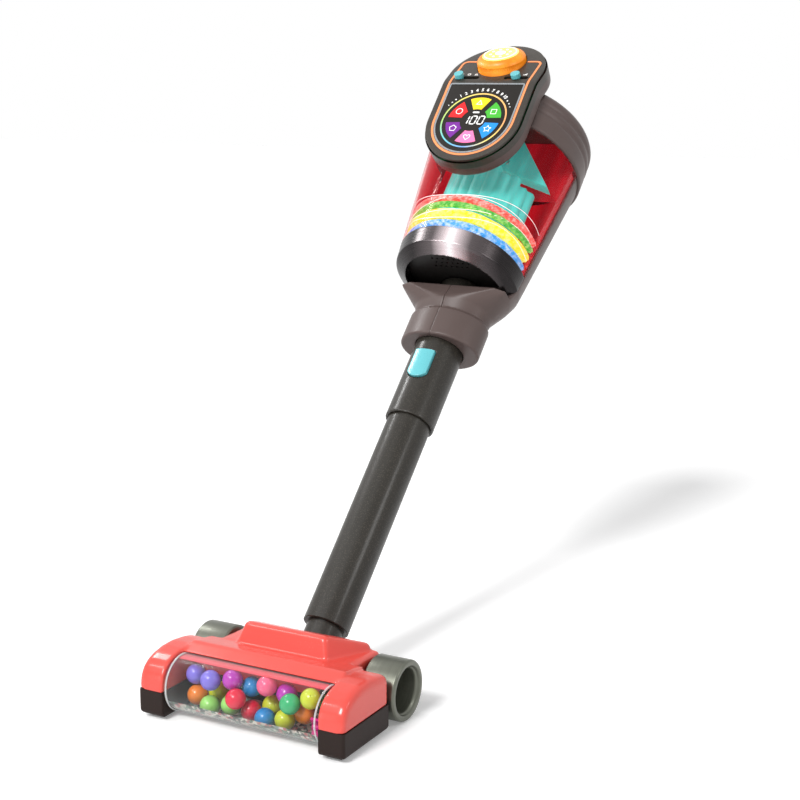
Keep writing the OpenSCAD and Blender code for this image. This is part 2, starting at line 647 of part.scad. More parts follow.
// Light panel
// The housing block, with its rim points folded at the bend, as one polyhedron
function rim_points(r, n) = concat(
    [for (i = [0 : n]) let (a = 180 + 180 * i / n) [r * cos(a), r * sin(a)]], [[r, fold_w]],
    [for (i = [0 : n]) let (a = 180 * i / n) [r * cos(a), fold_w + top_l + r * sin(a)]], [[-r, fold_w]]);
function fold_point(p, d) = let (s = p[1] - fold_w) s < 0 ? [p[0], d, p[1]]
    : s == 0 ? [p[0], d, fold_w - d * tan(bend / 2)]
    : [p[0], d * cos(bend) + s * sin(bend), fold_w + s * cos(bend) - d * sin(bend)];
module folded_block(d0, d1, g, n = 32) {
    rim = rim_points(plate_r + g, n);
    m = len(rim);
    low = concat([for (i = [0 : n + 1]) i], [m - 1]);
    top = [for (i = [n + 1 : m - 1]) i];
    polyhedron(concat([for (p = rim) fold_point(p, d0)], [for (p = rim) fold_point(p, d1)]),
        concat([[for (i = [len(low) - 1 : -1 : 0]) low[i]], [for (i = [len(top) - 1 : -1 : 0]) top[i]],
        [for (i = low) i + m], [for (i = top) i + m]],
        [for (i = [0 : m - 1]) let (j = (i + 1) % m) [i, j, j + m, i + m]]), convexity = 4);
}
module panel_housing() color("#6b605e") difference() {
    folded_block(plate_t, house_d, 2);
    facing(plate_t - 1, house_d - 2.5) intersection() {
        low_outline(-0.6);
        translate([-80, -80]) square([160, 80 + fold_w - 3]);
    }
    at_top() facing(plate_t - 1, house_d - 2.5) intersection() {
        top_outline(-0.6);
        translate([-80, 1.5]) square([160, 120]);
    }
}
module lamp_hole(r) at_top() translate([0, 0, lamp_w]) rotate([-lamp_tilt, 0, 0]) rotate([90, 0, 0])
    translate([0, 0, -30]) cylinder(r = r, h = 60);
module slots() both() translate([slot_x - slot_l / 2, slot_w - slot_h / 2]) square([slot_l, slot_h]);
module dial_outline(g) {
    circle(r = dial_r + g);
    translate([-dial_r - g, 0]) square([2 * (dial_r + g), fold_w - 4 + g]);
}
module face_plate() color("#3e3932") difference() {
    union() {
        folded(0.8, plate_t, 0.4);
        folded(0, 0.9, -0.8);
    }
    lamp_hole(lamp_r + key_c);
    at_top() facing(-1, plate_t + 1) slots();
    facing(-1, 1) dial_outline(0.05);
}
module dial() color("#26221f") facing(-0.2, 1) dial_outline(0);
module circuit_board() color("#2f7a4a") {
    facing(9, 10.6) intersection() {
        low_outline(-0.8);
        translate([-60, -46]) square([120, 90]);
    }
    at_top() facing(9, 10.6) translate([-plate_r + 0.8, 2]) square([2 * plate_r - 1.6, 14]);
}
module slide_switches() color("#b8b8b4") both() translate([slot_x, 0, slot_w]) facing(6.4, 9)
    square([20, 6], center = true);
module slider(x) translate([x, 0, slot_w]) {
    facing(-5.8, -0.5) circle(r = knob_r);
    facing(-0.6, 5.6) square([knob_w, slot_h - 2 * key_c], center = true);
    facing(3.5, 5.6) square([knob_w + 3, slot_h + 2.4], center = true);
}
module mode_slider() color("#7ed0d6") slider(-slot_x - travel / 2);
module volume_slider() color("#7ed0d6") slider(slot_x);
module turned() rotate([90, 0, 0]) rotate_extrude() children();
module light_button() color("#f0960c") {
    turned() polygon([[lamp_r - 3, -8], [lamp_r - 3, 3], [lamp_r - 8, 7], [3, 7], [3, -9], [0, -9],
        [0, 11], [lamp_r - 8, 10.6], [lamp_r - 4, 9.2], [lamp_r - 1.2, 7], [lamp_r, 4.5],
        [lamp_r, -8], [lamp_r + 1.6, -8], [lamp_r + 1.6, -9.6], [lamp_r - 3, -9.6]]);
}
module button_spring() color("#c0c0bc")
    translate([0, -7, 0]) rotate([-90, 0, 0]) coil(9, 0.6, switch_y + 8, 6);
module push_switch() color("#1d1b1a") {
    facing(switch_y + 1, switch_y + 2.2) circle(r = 16);
    facing(switch_y, switch_y + 1.1) square([7, 7], center = true);
}
module lamp() color("#fff2c0") both() translate([13.2, 0, 0]) {
    facing(6, switch_y + 1) circle(r = 2.5);
    translate([0, 6, 0]) sphere(r = 2.5);
}

at_head() head_shell();
at_head() head_base();
at_head() ball_window();
at_head() glide_strip();
at_head() balls_violet();
at_head() balls_magenta();
at_head() balls_blue();
at_head() balls_pink();
at_head() balls_yellow();
at_head() balls_orange();
at_head() balls_lime();
at_head() balls_red();
at_head() balls_green();
at_head() popper_paddle();
at_head() popper_belt();
at_head() lay_shaft();
at_head() drive_belt();
at_head() axle();
at_head() axle_pulley();
at_head() wheels();
at_head() axle_bushes();
at_head() head_screws();
at_wand() wand_knuckle();
at_wand() lower_tube();
at_wand() middle_tube();
at_wand() upper_sleeve();
at_wand() latch_block();
at_wand() release_button();
at_wand() release_spring();
at_wand() body_shell_left();
at_wand() body_shell_right();
at_wand() hand_grip();
at_wand() canister();
at_wand() canister_back();
at_wand() canister_ring();
at_wand() speaker_grille();
at_wand() speaker();
at_wand() arrow_core();
at_wand() swirl_blue();
at_wand() swirl_yellow();
at_wand() swirl_green();
at_wand() swirl_red();
at_wand() top_cap();
at_wand() battery_tray();
at_wand() batteries();
at_wand() battery_contacts();
at_wand() battery_door();
at_wand() cap_screws();
at_panel() panel_housing();
at_panel() face_plate();
at_panel() dial();
at_panel() circuit_board();
at_panel() at_top() slide_switches();
at_panel() at_top() mode_slider();
at_panel() at_top() volume_slider();
at_lamp() light_button();
at_lamp() button_spring();
at_lamp() push_switch();
at_lamp() lamp();
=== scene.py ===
"""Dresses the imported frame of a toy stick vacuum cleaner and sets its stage."""
import functools
import math
import random

import bmesh
import bpy
from bpy.props import FloatProperty, FloatVectorProperty, PointerProperty
from bpy.types import Operator, Panel, PropertyGroup
from mathutils import Euler, Matrix, Vector


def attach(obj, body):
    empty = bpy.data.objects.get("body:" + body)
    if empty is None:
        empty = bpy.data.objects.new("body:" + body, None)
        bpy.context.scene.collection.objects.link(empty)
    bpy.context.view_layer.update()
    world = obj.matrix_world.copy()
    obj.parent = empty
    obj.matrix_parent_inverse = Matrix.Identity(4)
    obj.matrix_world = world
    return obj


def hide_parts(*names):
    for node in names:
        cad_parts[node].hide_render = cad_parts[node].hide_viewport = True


bl_info = {
    "name": "Toy stick vacuum cleaner",
    "version": (1, 0, 0),
    "blender": (4, 5, 0),
    "location": "3D View > Sidebar > Toy vacuum",
    "description": "Dresses the packed frame of a toy stick vacuum cleaner",
    "category": "Object",
}

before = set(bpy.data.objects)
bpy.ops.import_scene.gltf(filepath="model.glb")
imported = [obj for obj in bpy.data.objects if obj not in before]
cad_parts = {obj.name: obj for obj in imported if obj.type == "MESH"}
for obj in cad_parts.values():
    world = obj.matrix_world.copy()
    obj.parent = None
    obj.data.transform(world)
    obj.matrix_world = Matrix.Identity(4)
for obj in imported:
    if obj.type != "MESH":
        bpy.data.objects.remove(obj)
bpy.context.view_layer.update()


def turn(degrees, axis="X"):
    return Matrix.Rotation(math.radians(degrees), 4, axis)


def move(x, y, z):
    return Matrix.Translation((x, y, z))


# Panel, in millimetres and degrees: its fold, plate, slots, lamp, line, and how far prints reach in
FOLD = 52.0
LEAN = 17.0
BEND = 5.0
PLATE_R = 52.4
PLATE_T = 3.0
TOP_CENTRE = 72.0
SLOT_X = 28.0
SLOT_W = 60.0
SLOT_SIZE = (27.4, 5.6, 2.4)
LAMP_W = 89.0
LAMP_HOLE = 27.0
LAMP_CLEAR = 28.2
LINE_R = 46.0
LINE_CORNER = 7.0
LINE_TOP = FOLD + 41.0
PRINT_DEPTH = 0.2

# Housing behind the plate: its depths, wall and hollow, and where its second colour begins
HOUSE_R = 54.0
HOUSE_FRONT = 3.05
HOUSE_BACK = 25.0
HOUSE_WALL = 2.6
HOUSE_HOLLOW = 19.5
TONE_DEPTH = 12.0

# Frames of the part, from millimetres to the frame's metres
HERE = Matrix.Identity(4)
MM = Matrix.Scale(0.001, 4)
WAND_LEAN = -45.0
HEAD = MM @ move(0, -64, 0)
WAND = MM @ move(0, 41.5, 27.4) @ turn(WAND_LEAN)
TUBE = WAND @ move(0, 7, 0)
CANISTER = WAND @ move(0, -13, 0)
PANEL = WAND @ move(0, -103, 575.5) @ turn(2.6)
TOP = PANEL @ move(0, 0, FOLD) @ turn(-LEAN)
LAMP = TOP @ move(0, 0, LAMP_W - FOLD) @ turn(-9) @ turn(90)

# Small sizes, in millimetres: room over a spring, the canister's lining and a ball's gate mark
SPRING_ROOM = 2.9
LINING_T = 0.6
GATE_DEPTH = 0.9

# Shares of its radius that a ball has at its seam and the light button between its ribs
SEAM_SHARE = 0.986
RIB_SHARE = 0.972

# Relief of the grain, in metres, and the white of the prints
RELIEF = 0.0004
WHITE = (0.9, 0.9, 0.88)

# Stage: camera in metres and degrees, light, and softboxes by name, place, goal, size and power
CAMERA_AT = (0.7265, -1.0927, 0.5566)
CAMERA_PITCH = 78.2
CAMERA_HEADING = 28.95
LENS = 70.88
SENSOR = 36.0
SUN_FROM = (-0.09, -0.72, 0.69)
SUN_ENERGY = 2.3
SUN_SPREAD = 14.0
AMBIENT = 0.36
FLOOR_LEVEL = -0.0004
FLOOR_LIFT = 0.2
SOFTBOXES = (
    ("softbox_low", (-0.62, -1.05, 0.17), (0.0, 0.0, 0.07), 0.07, 0.35),
    ("softbox_high", (-0.9, -0.7, 1.25), (0.0, 0.35, 0.4), 0.35, 5.0),
    ("softbox_right", (1.1, 0.1, 0.9), (0.0, 0.3, 0.35), 0.3, 2.5),
    ("softbox_edge", (-0.94, 0.35, 1.0), (0.0, 0.25, 0.25), 0.2, 4.0),
)

# Balls by colour, each with its places
BALLS = {
    "violet": [(-63, 28.5, 37.5), (-39.5, 17, 40)],
    "magenta": [(-19.5, 22, 42.5), (31, 29.5, 37)],
    "blue": [(-7, 33, 35), (15, 19, 15.5)],
    "pink": [(14.5, 24, 43)],
    "yellow": [(61, 20, 42), (33.5, 22, 17), (-45.5, 37, 21.5), (11.5, 36.5, 20)],
    "orange": [(-60.5, 26, 19.5), (50, 28, 23.5)],
    "lime": [(-43, 20, 15), (-21.5, 21.5, 19.5)],
    "red": [(-10, 12, 30.5), (-2.5, 24, 17)],
    "green": [(44, 14, 36), (63.5, 40, 35)],
}

# Light guides: height, radius, width and strands, then the strands' spread and radius as shares of
# that width, and their turns
SWIRLS = {
    "blue": (461, 60.5, 6.0, 9),
    "yellow": (474, 61.9, 6.0, 9),
    "green": (484, 65.4, 3.5, 6),
    "red": (492, 65.7, 4.0, 6),
}
STRAND_SPREAD = 0.62
STRAND_R = 0.36
STRAND_TURNS = 7.0


def srgb(red, green, blue):
    """Linear colour of an 8-bit display colour."""
    return tuple(((v / 255 + 0.055) / 1.055) ** 2.4 if v > 10 else v / 3294.6 for v in (red, green, blue))


def shade(colour, factor):
    return tuple(min(1.0, c * factor) for c in colour[:3])


def rgba(colour):
    return colour if isinstance(colour, Value) else (*colour[:3], 1.0)


# Materials


class Value:
    """A shader socket that takes part in Python expressions."""

    def __init__(self, finish, socket):
        self.finish = finish
        self.socket = socket

    def __add__(self, other):
        return self.finish.math("ADD", self, other)

    def __sub__(self, other):
        return self.finish.math("SUBTRACT", self, other)

    def __mul__(self, other):
        return self.finish.math("MULTIPLY", self, other)

    def __pow__(self, other):
        return self.finish.math("POWER", self, other)

    def __gt__(self, other):
        return self.finish.math("GREATER_THAN", self, other)

    __radd__ = __add__


class Finish:
    """A material, or the world, under construction."""

    def __init__(self, name, kind="materials"):
        self.owner = getattr(bpy.data, kind).new(name)
        self.owner.use_nodes = True
        self.tree = self.owner.node_tree
        self.tree.nodes.clear()

    def add(self, kind, settings=None, inputs=None, out=0):
        """A node of that kind: its settings first, then the values or links of its sockets."""
        node = self.tree.nodes.new("ShaderNode" + kind)
        for key, value in (settings or {}).items():
            if key == "steps":
                node.color_ramp.interpolation = value
            elif key == "stops":
                ramp = node.color_ramp
                while len(ramp.elements) < len(value):
                    ramp.elements.new(0.5)
                for element, (position, colour) in zip(ramp.elements, value):
                    element.position = position
                    element.color = rgba(colour)
            else:
                setattr(node, key, value)
        for key, value in (inputs or {}).items():
            if isinstance(value, Value):
                self.tree.links.new(value.socket, node.inputs[key])
            else:
                node.inputs[key].default_value = value
        return Value(self, node.outputs[out]) if node.outputs else None

    def math(self, operation, first, second):
        return self.add("Math", {"operation": operation}, {0: first, 1: second})

    def mix(self, factor, first, second):
        values = {0: factor, 6: rgba(first), 7: rgba(second)}
        return self.add("Mix", {"data_type": "RGBA"}, values, out=2)

    def coords(self, stretch=(1, 1, 1), lean=0.0):
        """Object coordinates, turned with the wand if asked and drawn out along each axis."""
        point = self.add("TexCoord", out=3)
        values = {"Vector": point, "Rotation": (math.radians(lean), 0, 0), "Scale": stretch}
        return self.add("Mapping", {"vector_type": "TEXTURE"}, values)

    def noise(self, scale, detail, at=None):
        values = {"Vector": at or self.coords(), "Scale": scale, "Detail": detail}
        return self.add("TexNoise", {}, values)

    def cells(self, scale):
        """Small cells, each of a colour of its own."""
        return self.add("TexVoronoi", {}, {"Vector": self.coords(), "Scale": scale}, out=1)

    def ramp(self, value, stops, steps="LINEAR"):
        return self.add("ValToRGB", {"steps": steps, "stops": stops}, {0: value})

    def bump(self, height, strength):
        return self.add("Bump", {}, {"Height": height, "Strength": strength, "Distance": RELIEF})

    def principled(self, tone, values):
        return self.add("BsdfPrincipled", {}, {"Base Color": tone, **values})

    def close(self, shader, output="OutputMaterial"):
        self.add(output, {}, {"Surface": shader})
        return self.owner

    def surface(self, tone, values, glow=None):
        """The finished material: its tone, its other sockets and a glow of that tone if asked."""
        if glow is not None:
            values = {**values, "Emission Color": tone, "Emission Strength": glow}
        return self.close(self.principled(tone, values))


def made_once(make):
    """Hands back the material that already has the name, and makes one only where there is none."""

    @functools.wraps(make)
    def find_or_make(name, *values, **settings):
        if name in bpy.data.materials:
            return bpy.data.materials[name]
        return make(name, *values, **settings)

    return find_or_make


@made_once
def plastic(name, colour, rough=0.35, grain=0.06, size=1400, tint=0.07, flake=0.0, glow=0.0, **constants):
    """Moulded plastic: slow clouds of tone, a fine grain in gloss and relief, and flakes if asked."""
    finish = Finish(name)
    cloud = finish.noise(38, 4)
    fine = finish.noise(size, 3)
    tone = finish.mix(cloud, shade(colour, 1 - tint), shade(colour, 1 + tint))
    if flake:
        spark = finish.cells(1500)
        level = finish.add("SeparateColor", {}, {0: spark}) > 0.86
        tone = finish.mix(level * flake, tone, shade(colour, 3.2))
    values = {
        "Roughness": rough + (fine - 0.5) * 0.16 + (cloud - 0.5) * 0.1,
        "Normal": finish.bump(fine, grain),
    }
    for key, value in constants.items():
        values[key.replace("_", " ").title().replace("Ior", "IOR")] = value
    return finish.surface(tone, values, glow)


def streaked(name, colour, glow):
    """Tinted plastic with broad streaks along the wand, and a painted glow of its tone."""
    finish = Finish(name)
    broad = finish.noise(34, 3, finish.coords((1, 1, 14), WAND_LEAN))
    fine = finish.noise(120, 3, finish.coords((1, 1, 10), WAND_LEAN))
    stops = [(0.34, shade(colour, 0.5)), (0.5, colour), (0.66, shade(colour, 1.25))]
    tone = finish.mix(fine * 0.35, finish.ramp(broad, stops), shade(colour, 0.7))
    return finish.surface(tone, {"Roughness": 0.25 + fine * 0.2}, glow)


@made_once
def brushed(name, colour, rough=0.34, metallic=0.75, stretch=(0.02, 1, 1), lean=0.0, painted_highlight=None):
    """Metallic lacquer with fine lines drawn round the piece, and a painted highlight, paler round a
    middle, if asked.
    """
    finish = Finish(name)
    lines = finish.noise(26, 6, finish.coords(stretch, lean))
    fine = finish.noise(1300, 2)
    tone = finish.mix(lines, shade(colour, 0.72), shade(colour, 1.3))
    # Painted highlight and shade: the colour is made much paler near a middle in X and darker far from
    # it.
    if painted_highlight:
        middle, reach = painted_highlight
        across = finish.add("SeparateXYZ", {}, {0: finish.coords()}, out=0)
        away = finish.math("ABSOLUTE", across - middle, 0.0) * (1 / reach)
        levels = ((0.0, 24), (0.14, 15), (0.45, 2.4), (1.0, 0.25))
        stops = [(position, shade(colour, level)) for position, level in levels]
        tone = finish.mix(lines * 0.3, finish.ramp(away, stops), tone)
    values = {
        "Metallic": metallic,
        "Roughness": rough + (lines - 0.5) * 0.22 + (fine - 0.5) * 0.1,
        "Normal": finish.bump(lines * 0.6 + fine * 0.4, 0.1),
    }
    return finish.surface(tone, values)


def clear(name, tint, edge, body, rim):
    """Clear plastic: see-through face on, coloured and glossy where it turns away."""
    finish = Finish(name)
    turned = finish.add("LayerWeight", {}, {"Blend": 0.5}, out=1)
    smear = finish.noise(60, 4)
    share = turned ** 3.0 * rim + body + (smear - 0.5) * 0.03
    colour = finish.mix(smear, shade(edge, 0.9), shade(edge, 1.1))
    gloss = finish.principled(colour, {"Roughness": 0.06 + smear * 0.05, "IOR": 1.46})
    through = finish.add("BsdfTransparent", {}, {0: (*tint, 1)})
    return finish.close(finish.add("MixShader", {}, {0: share, 1: through, 2: gloss}))


@made_once
def glowing(name, colour, strength, pale, grain=420.0, lean=WAND_LEAN, stretch=(1, 1, 1)):
    """A light guide or lamp, or the arrow core with a painted glow: grainy glow between its colour and a
    pale core.
    """
    finish = Finish(name)
    at = finish.coords(stretch, lean)
    core = finish.ramp(finish.noise(grain, 4, at), [(0.42, colour), (0.68, pale)])
    drift = finish.noise(70, 3)
    tone = finish.mix(drift, core, colour)
    return finish.surface(tone, {"Roughness": 0.3 + drift * 0.2}, strength)


def confetti(name):
    """A liner printed all over with small flecks, with a faint painted glow."""
    finish = Finish(name)
    flecks = finish.cells(330)
    level = finish.add("SeparateColor", {}, {0: flecks})
    tone = finish.ramp(
        level,
        [
            (0.0, srgb(52, 54, 50)),
            (0.18, srgb(186, 178, 166)),
            (0.34, srgb(84, 116, 94)),
            (0.5, srgb(214, 208, 196)),
            (0.64, srgb(176, 96, 96)),
            (0.78, srgb(78, 74, 70)),
            (0.9, srgb(128, 150, 140)),
        ],
        "CONSTANT",
    )
    soft = finish.mix(finish.noise(220, 3) * 0.25, tone, srgb(120, 116, 108))
    return finish.surface(soft, {"Roughness": 0.45, "Normal": finish.bump(level, 0.08)}, 0.1)


def rainbow(name):
    """A printed ring whose hue runs round the dial, on the ring's own map, with a faint painted glow."""
    finish = Finish(name)
    spot = finish.add("UVMap")
    across = finish.add("SeparateXYZ", {}, {0: spot}, out=0) - 0.5
    up = finish.add("SeparateXYZ", {}, {0: spot}, out=1) - 0.5
    angle = finish.math("ARCTAN2", up, across) * (0.5 / math.pi) + 0.5
    tone = finish.ramp(
        angle,
        [
            (0.0, srgb(150, 200, 90)),
            (0.12, srgb(70, 190, 200)),
            (0.25, srgb(90, 150, 220)),
            (0.37, srgb(235, 215, 90)),
            (0.5, srgb(245, 150, 70)),
            (0.72, srgb(240, 190, 80)),
            (0.86, srgb(225, 215, 90)),
            (1.0, srgb(150, 200, 90)),
        ],
    )
    ink = finish.noise(900, 2)
    faded = finish.mix(ink * 0.2, tone, WHITE)
    return finish.surface(faded, {"Roughness": 0.35 + ink * 0.1}, 0.15)


@made_once
def paint(name, colour, glow):
    """Printed ink: an even colour with a little grain, and a painted glow of that colour."""
    finish = Finish(name)
    ink = finish.noise(700, 3)
    tone = finish.mix(ink, shade(colour, 0.9), shade(colour, 1.08))
    values = {"Roughness": 0.42 + (ink - 0.5) * 0.15, "Specular IOR Level": 0.2}
    return finish.surface(tone, values, glow)


# Forms


def linked(name, data):
    """A new object in the scene."""
    obj = bpy.data.objects.new(name, data)
    bpy.context.scene.collection.objects.link(obj)
    return obj


def mesh_of(bm, name):
    """The mesh of a form, which is used up."""
    mesh = bpy.data.meshes.new(name)
    bm.to_mesh(mesh)
    bm.free()
    return mesh


def cut(bm, point, normal):
    """Divides the faces along a plane."""
    everything = bm.verts[:] + bm.edges[:] + bm.faces[:]
    bmesh.ops.bisect_plane(bm, geom=everything, dist=1e-5, plane_co=point, plane_no=normal)


def outer_edges(bm):
    return [e for e in bm.edges if len(e.link_faces) == 1]


def lathe(profile, steps, arc=360.0, start=0.0):
    """A closed profile of (radius, height) pairs turned about Z."""
    bm = bmesh.new()
    verts = [bm.verts.new((radius, 0, height)) for radius, height in profile]
    for pair in zip(verts, verts[1:] + verts[:1]):
        bm.edges.new(pair)
    bmesh.ops.rotate(bm, verts=bm.verts, cent=(0, 0, 0), matrix=turn(start, "Z").to_3x3())
    full = arc == 360.0
    bmesh.ops.spin(
        bm,
        geom=bm.verts[:] + bm.edges[:],
        cent=(0, 0, 0),
        axis=(0, 0, 1),
        angle=math.radians(arc),
        steps=steps,
        use_merge=full,
    )
    bmesh.ops.remove_doubles(bm, verts=bm.verts, dist=1e-4)
    bmesh.ops.delete(bm, geom=[e for e in bm.edges if not e.link_faces], context="EDGES")
    if not full:
        bmesh.ops.holes_fill(bm, edges=outer_edges(bm), sides=0)
    bmesh.ops.recalc_face_normals(bm, faces=bm.faces)
    return bm


def round_rim(bm, edges, width, segments):
    """Rounds a set of edges."""
    bmesh.ops.bevel(
        bm,
        geom=edges,
        offset=width,
        offset_type="OFFSET",
        affect="EDGES",
        segments=segments,
        profile=0.5,
        clamp_overlap=True,
        material=-1,
    )


def ease(bm, width, angle=30.0):
    """Rounds every edge that is sharper than an angle."""
    limit = math.radians(angle)
    edges = [e for e in bm.edges if len(e.link_faces) == 2 and e.calc_face_angle() > limit]
    round_rim(bm, edges, width, 2)
    return bm


def ring_of(points, front, bm):
    verts = [bm.verts.new((x, front, w)) for x, w in points]
    return [bm.edges.new(pair) for pair in zip(verts, verts[1:] + verts[:1])]


def slab(outline, front, back, holes=(), rim=0.0):
    """A flat plate in the panel's plane between two depths, with holes and a rounded front rim."""
    bm = bmesh.new()
    border = ring_of(outline, front, bm)
    for hole in holes:
        ring_of(hole, front, bm)
    if holes:
        bmesh.ops.triangle_fill(bm, use_beauty=True, edges=bm.edges[:], normal=(0, -1, 0))
    else:
        bm.faces.new([e.verts[0] for e in border])
    thicken(bm, front, back)
    if rim:
        round_rim(bm, border, rim, 4)
    return bm


def thicken(bm, front, back):
    grown = bmesh.ops.extrude_face_region(bm, geom=bm.faces[:])["geom"]
    verts = [g for g in grown if isinstance(g, bmesh.types.BMVert)]
    bmesh.ops.translate(bm, verts=verts, vec=(0, back - front, 0))
    bmesh.ops.recalc_face_normals(bm, faces=bm.faces)


def band(outline, width, front, back, keep=None):
    """A line of even width that follows an outline on its inner side."""
    bm = bmesh.new()
    ring_of(outline, front, bm)
    face = bm.faces.new(bm.verts[:])
    face.normal_update()
    bmesh.ops.inset_region(bm, faces=[face], thickness=width, use_boundary=True, use_even_offset=True)
    dropped = [face]
    if keep:
        dropped += [f for f in bm.faces if f is not face and not keep(f.calc_center_median())]
    bmesh.ops.delete(bm, geom=dropped, context="FACES")
    thicken(bm, front, back)
    return bm


def arc_points(radius, first, last, count, centre=(0.0, 0.0)):
    angles = [math.radians(first + (last - first) * i / count) for i in range(count + 1)]
    return [(centre[0] + radius * math.cos(a), centre[1] + radius * math.sin(a)) for a in angles]


def polygon(radius, corners, first=0.0, centre=(0.0, 0.0)):
    """Corners of an even polygon. Many of them make a circle."""
    return arc_points(radius, first, first + 360 - 360 / corners, corners - 1, centre)


def stadium(radius):
    return arc_points(radius, 180, 360, 48) + arc_points(radius, 0, 180, 48, (0, TOP_CENTRE))


def window_outline(radius, top, corner):
    """A D on its back: round below, straight on top with small corners."""
    side = radius - corner
    points = arc_points(radius, 180, 360, 56)
    points += arc_points(corner, 0, 90, 5, (side, top - corner))
    return points + arc_points(corner, 90, 180, 5, (-side, top - corner))


def rounded_box(x, w, width, height, corner):
    points = []
    for quarter, (sx, sw) in enumerate(((1, 1), (-1, 1), (-1, -1), (1, -1))):
        centre = (x + sx * (width / 2 - corner), w + sw * (height / 2 - corner))
        points += arc_points(corner, 90 * quarter, 90 * quarter + 90, 5, centre)
    return points


def fold(bm):
    """Bends what lies past the fold of the panel back by its lean."""
    for step in range(-3, 4):
        cut(bm, (0, 0, FOLD + BEND * step / 3), (0, 0, 1))
    lean = math.radians(LEAN)
    radius = 2 * BEND / lean
    low = FOLD - BEND
    for vert in bm.verts:
        x, depth, w = vert.co
        if w <= low:
            continue
        angle = min(lean, (w - low) / radius)
        rest = max(0.0, w - low - 2 * BEND)
        y = radius - (radius - depth) * math.cos(angle) + rest * math.sin(angle)
        z = low + (radius - depth) * math.sin(angle) + rest * math.cos(angle)
        vert.co = (x, y, z)
    return bm


def form_of(data):
    """The mesh of a curve or text, as a bmesh."""
    obj = linked("form", data)
    depsgraph = bpy.context.evaluated_depsgraph_get()
    mesh = bpy.data.meshes.new_from_object(obj.evaluated_get(depsgraph))
    bm = bmesh.new()
    bm.from_mesh(mesh)
    bpy.data.objects.remove(obj)
    bpy.data.meshes.remove(mesh)
    bmesh.ops.remove_doubles(bm, verts=bm.verts, dist=1e-6)
    return bm


def strand(points, radius):
    """A round thread along a row of points."""
    curve = bpy.data.curves.new("thread", "CURVE")
    curve.dimensions = "3D"
    spline = curve.splines.new("POLY")
    spline.points.add(len(points) - 1)
    for spot, point in zip(spline.points, points):
        spot.co = (*point, 1)
    curve.bevel_depth = radius
    curve.bevel_resolution = 1
    curve.use_fill_caps = True
    return form_of(curve)


def figure(text, size, front, thick):
    """A figure in the panel's plane, facing the user."""
    curve = bpy.data.curves.new("figure", "FONT")
    curve.body = text
    curve.size = size
    curve.extrude = thick / 2
    curve.offset = 0.12
    curve.align_x = "CENTER"
    curve.align_y = "CENTER"
    bm = form_of(curve)
    bm.transform(move(0, front + thick / 2, 0) @ turn(90))
    return bm


def gather(parts):
    """Several forms, each with its place, as one."""
    whole = bmesh.new()
    for part, place in parts:
        part.transform(place)
        mesh = mesh_of(part, "part")
        whole.from_mesh(mesh)
        bpy.data.meshes.remove(mesh)
    return whole


def node_copy(name):
    """Merged copy of a CAD node, in place."""
    bm = bmesh.new()
    bm.from_mesh(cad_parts[name].data)
    bmesh.ops.remove_doubles(bm, verts=bm.verts, dist=1e-6)
    return bm


def moulded(bm, grid, passes):
    """The same solid with the soft edges of a moulding."""
    mesh = mesh_of(bm, "moulding")
    obj = linked("moulding", mesh)
    voxels = obj.modifiers.new("voxels", "REMESH")
    voxels.mode = "VOXEL"
    voxels.voxel_size = grid
    soften = obj.modifiers.new("soften", "SMOOTH")
    soften.factor = 0.5
    soften.iterations = passes
    result = bmesh.new()
    result.from_object(obj, bpy.context.evaluated_depsgraph_get())
    bpy.data.objects.remove(obj)
    bpy.data.meshes.remove(mesh)
    return result


def piece(name, bm, body, finish, replaced=(), place=HERE, smooth=35.0):
    """Makes a form an object of the part that rides on a body and wears a finish."""
    bm.transform(place)
    mesh = mesh_of(bm, name)
    mesh.shade_smooth()
    mesh.set_sharp_from_angle(angle=math.radians(smooth))
    for material in finish if isinstance(finish, list) else [finish]:
        mesh.materials.append(material)
    obj = linked(name, mesh)
    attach(obj, body)
    if replaced:
        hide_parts(*replaced)


def skin(node, body, finish, grid, passes):
    """A node's own solid, softened as a moulding, in the node's place."""
    soft = moulded(node_copy(node), grid, passes)
    piece(node + "_skin", soft, body, finish, [node])


def dress(finish, *nodes):
    """Puts a finish on CAD nodes that stay as they are."""
    for name in nodes:
        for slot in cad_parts[name].material_slots:
            slot.material = finish


# Settings


def colour_setting(name, description, default):
    return FloatVectorProperty(
        name=name, description=description, default=srgb(*default), subtype="COLOR", size=3, min=0, max=1
    )


def length_setting(name, description, default):
    return FloatProperty(name=name, description=description, default=default, unit="LENGTH", precision=4)


class VacuumSizes(PropertyGroup):
    shell_grid: length_setting("Shell grid", "Grid that softens the large mouldings", 0.001)
    fine_grid: length_setting("Fine grid", "Grid that softens the smaller mouldings", 0.0008)
    broad_grid: length_setting("Broad grid", "Grid that softens what lies behind the clear wall", 0.0013)
    cap_grid: length_setting("Cap grid", "Grid that softens the cap", 0.0012)
    trim_grid: length_setting("Trim grid", "Grid that softens the ring and the battery door", 0.0006)
    key_grid: length_setting("Key grid", "Grid that softens buttons and knobs", 0.0004)
    ball: length_setting("Ball", "Diameter of a popping ball", 0.018)
    line: length_setting("Line", "Width of the line round the panel", 0.0023)


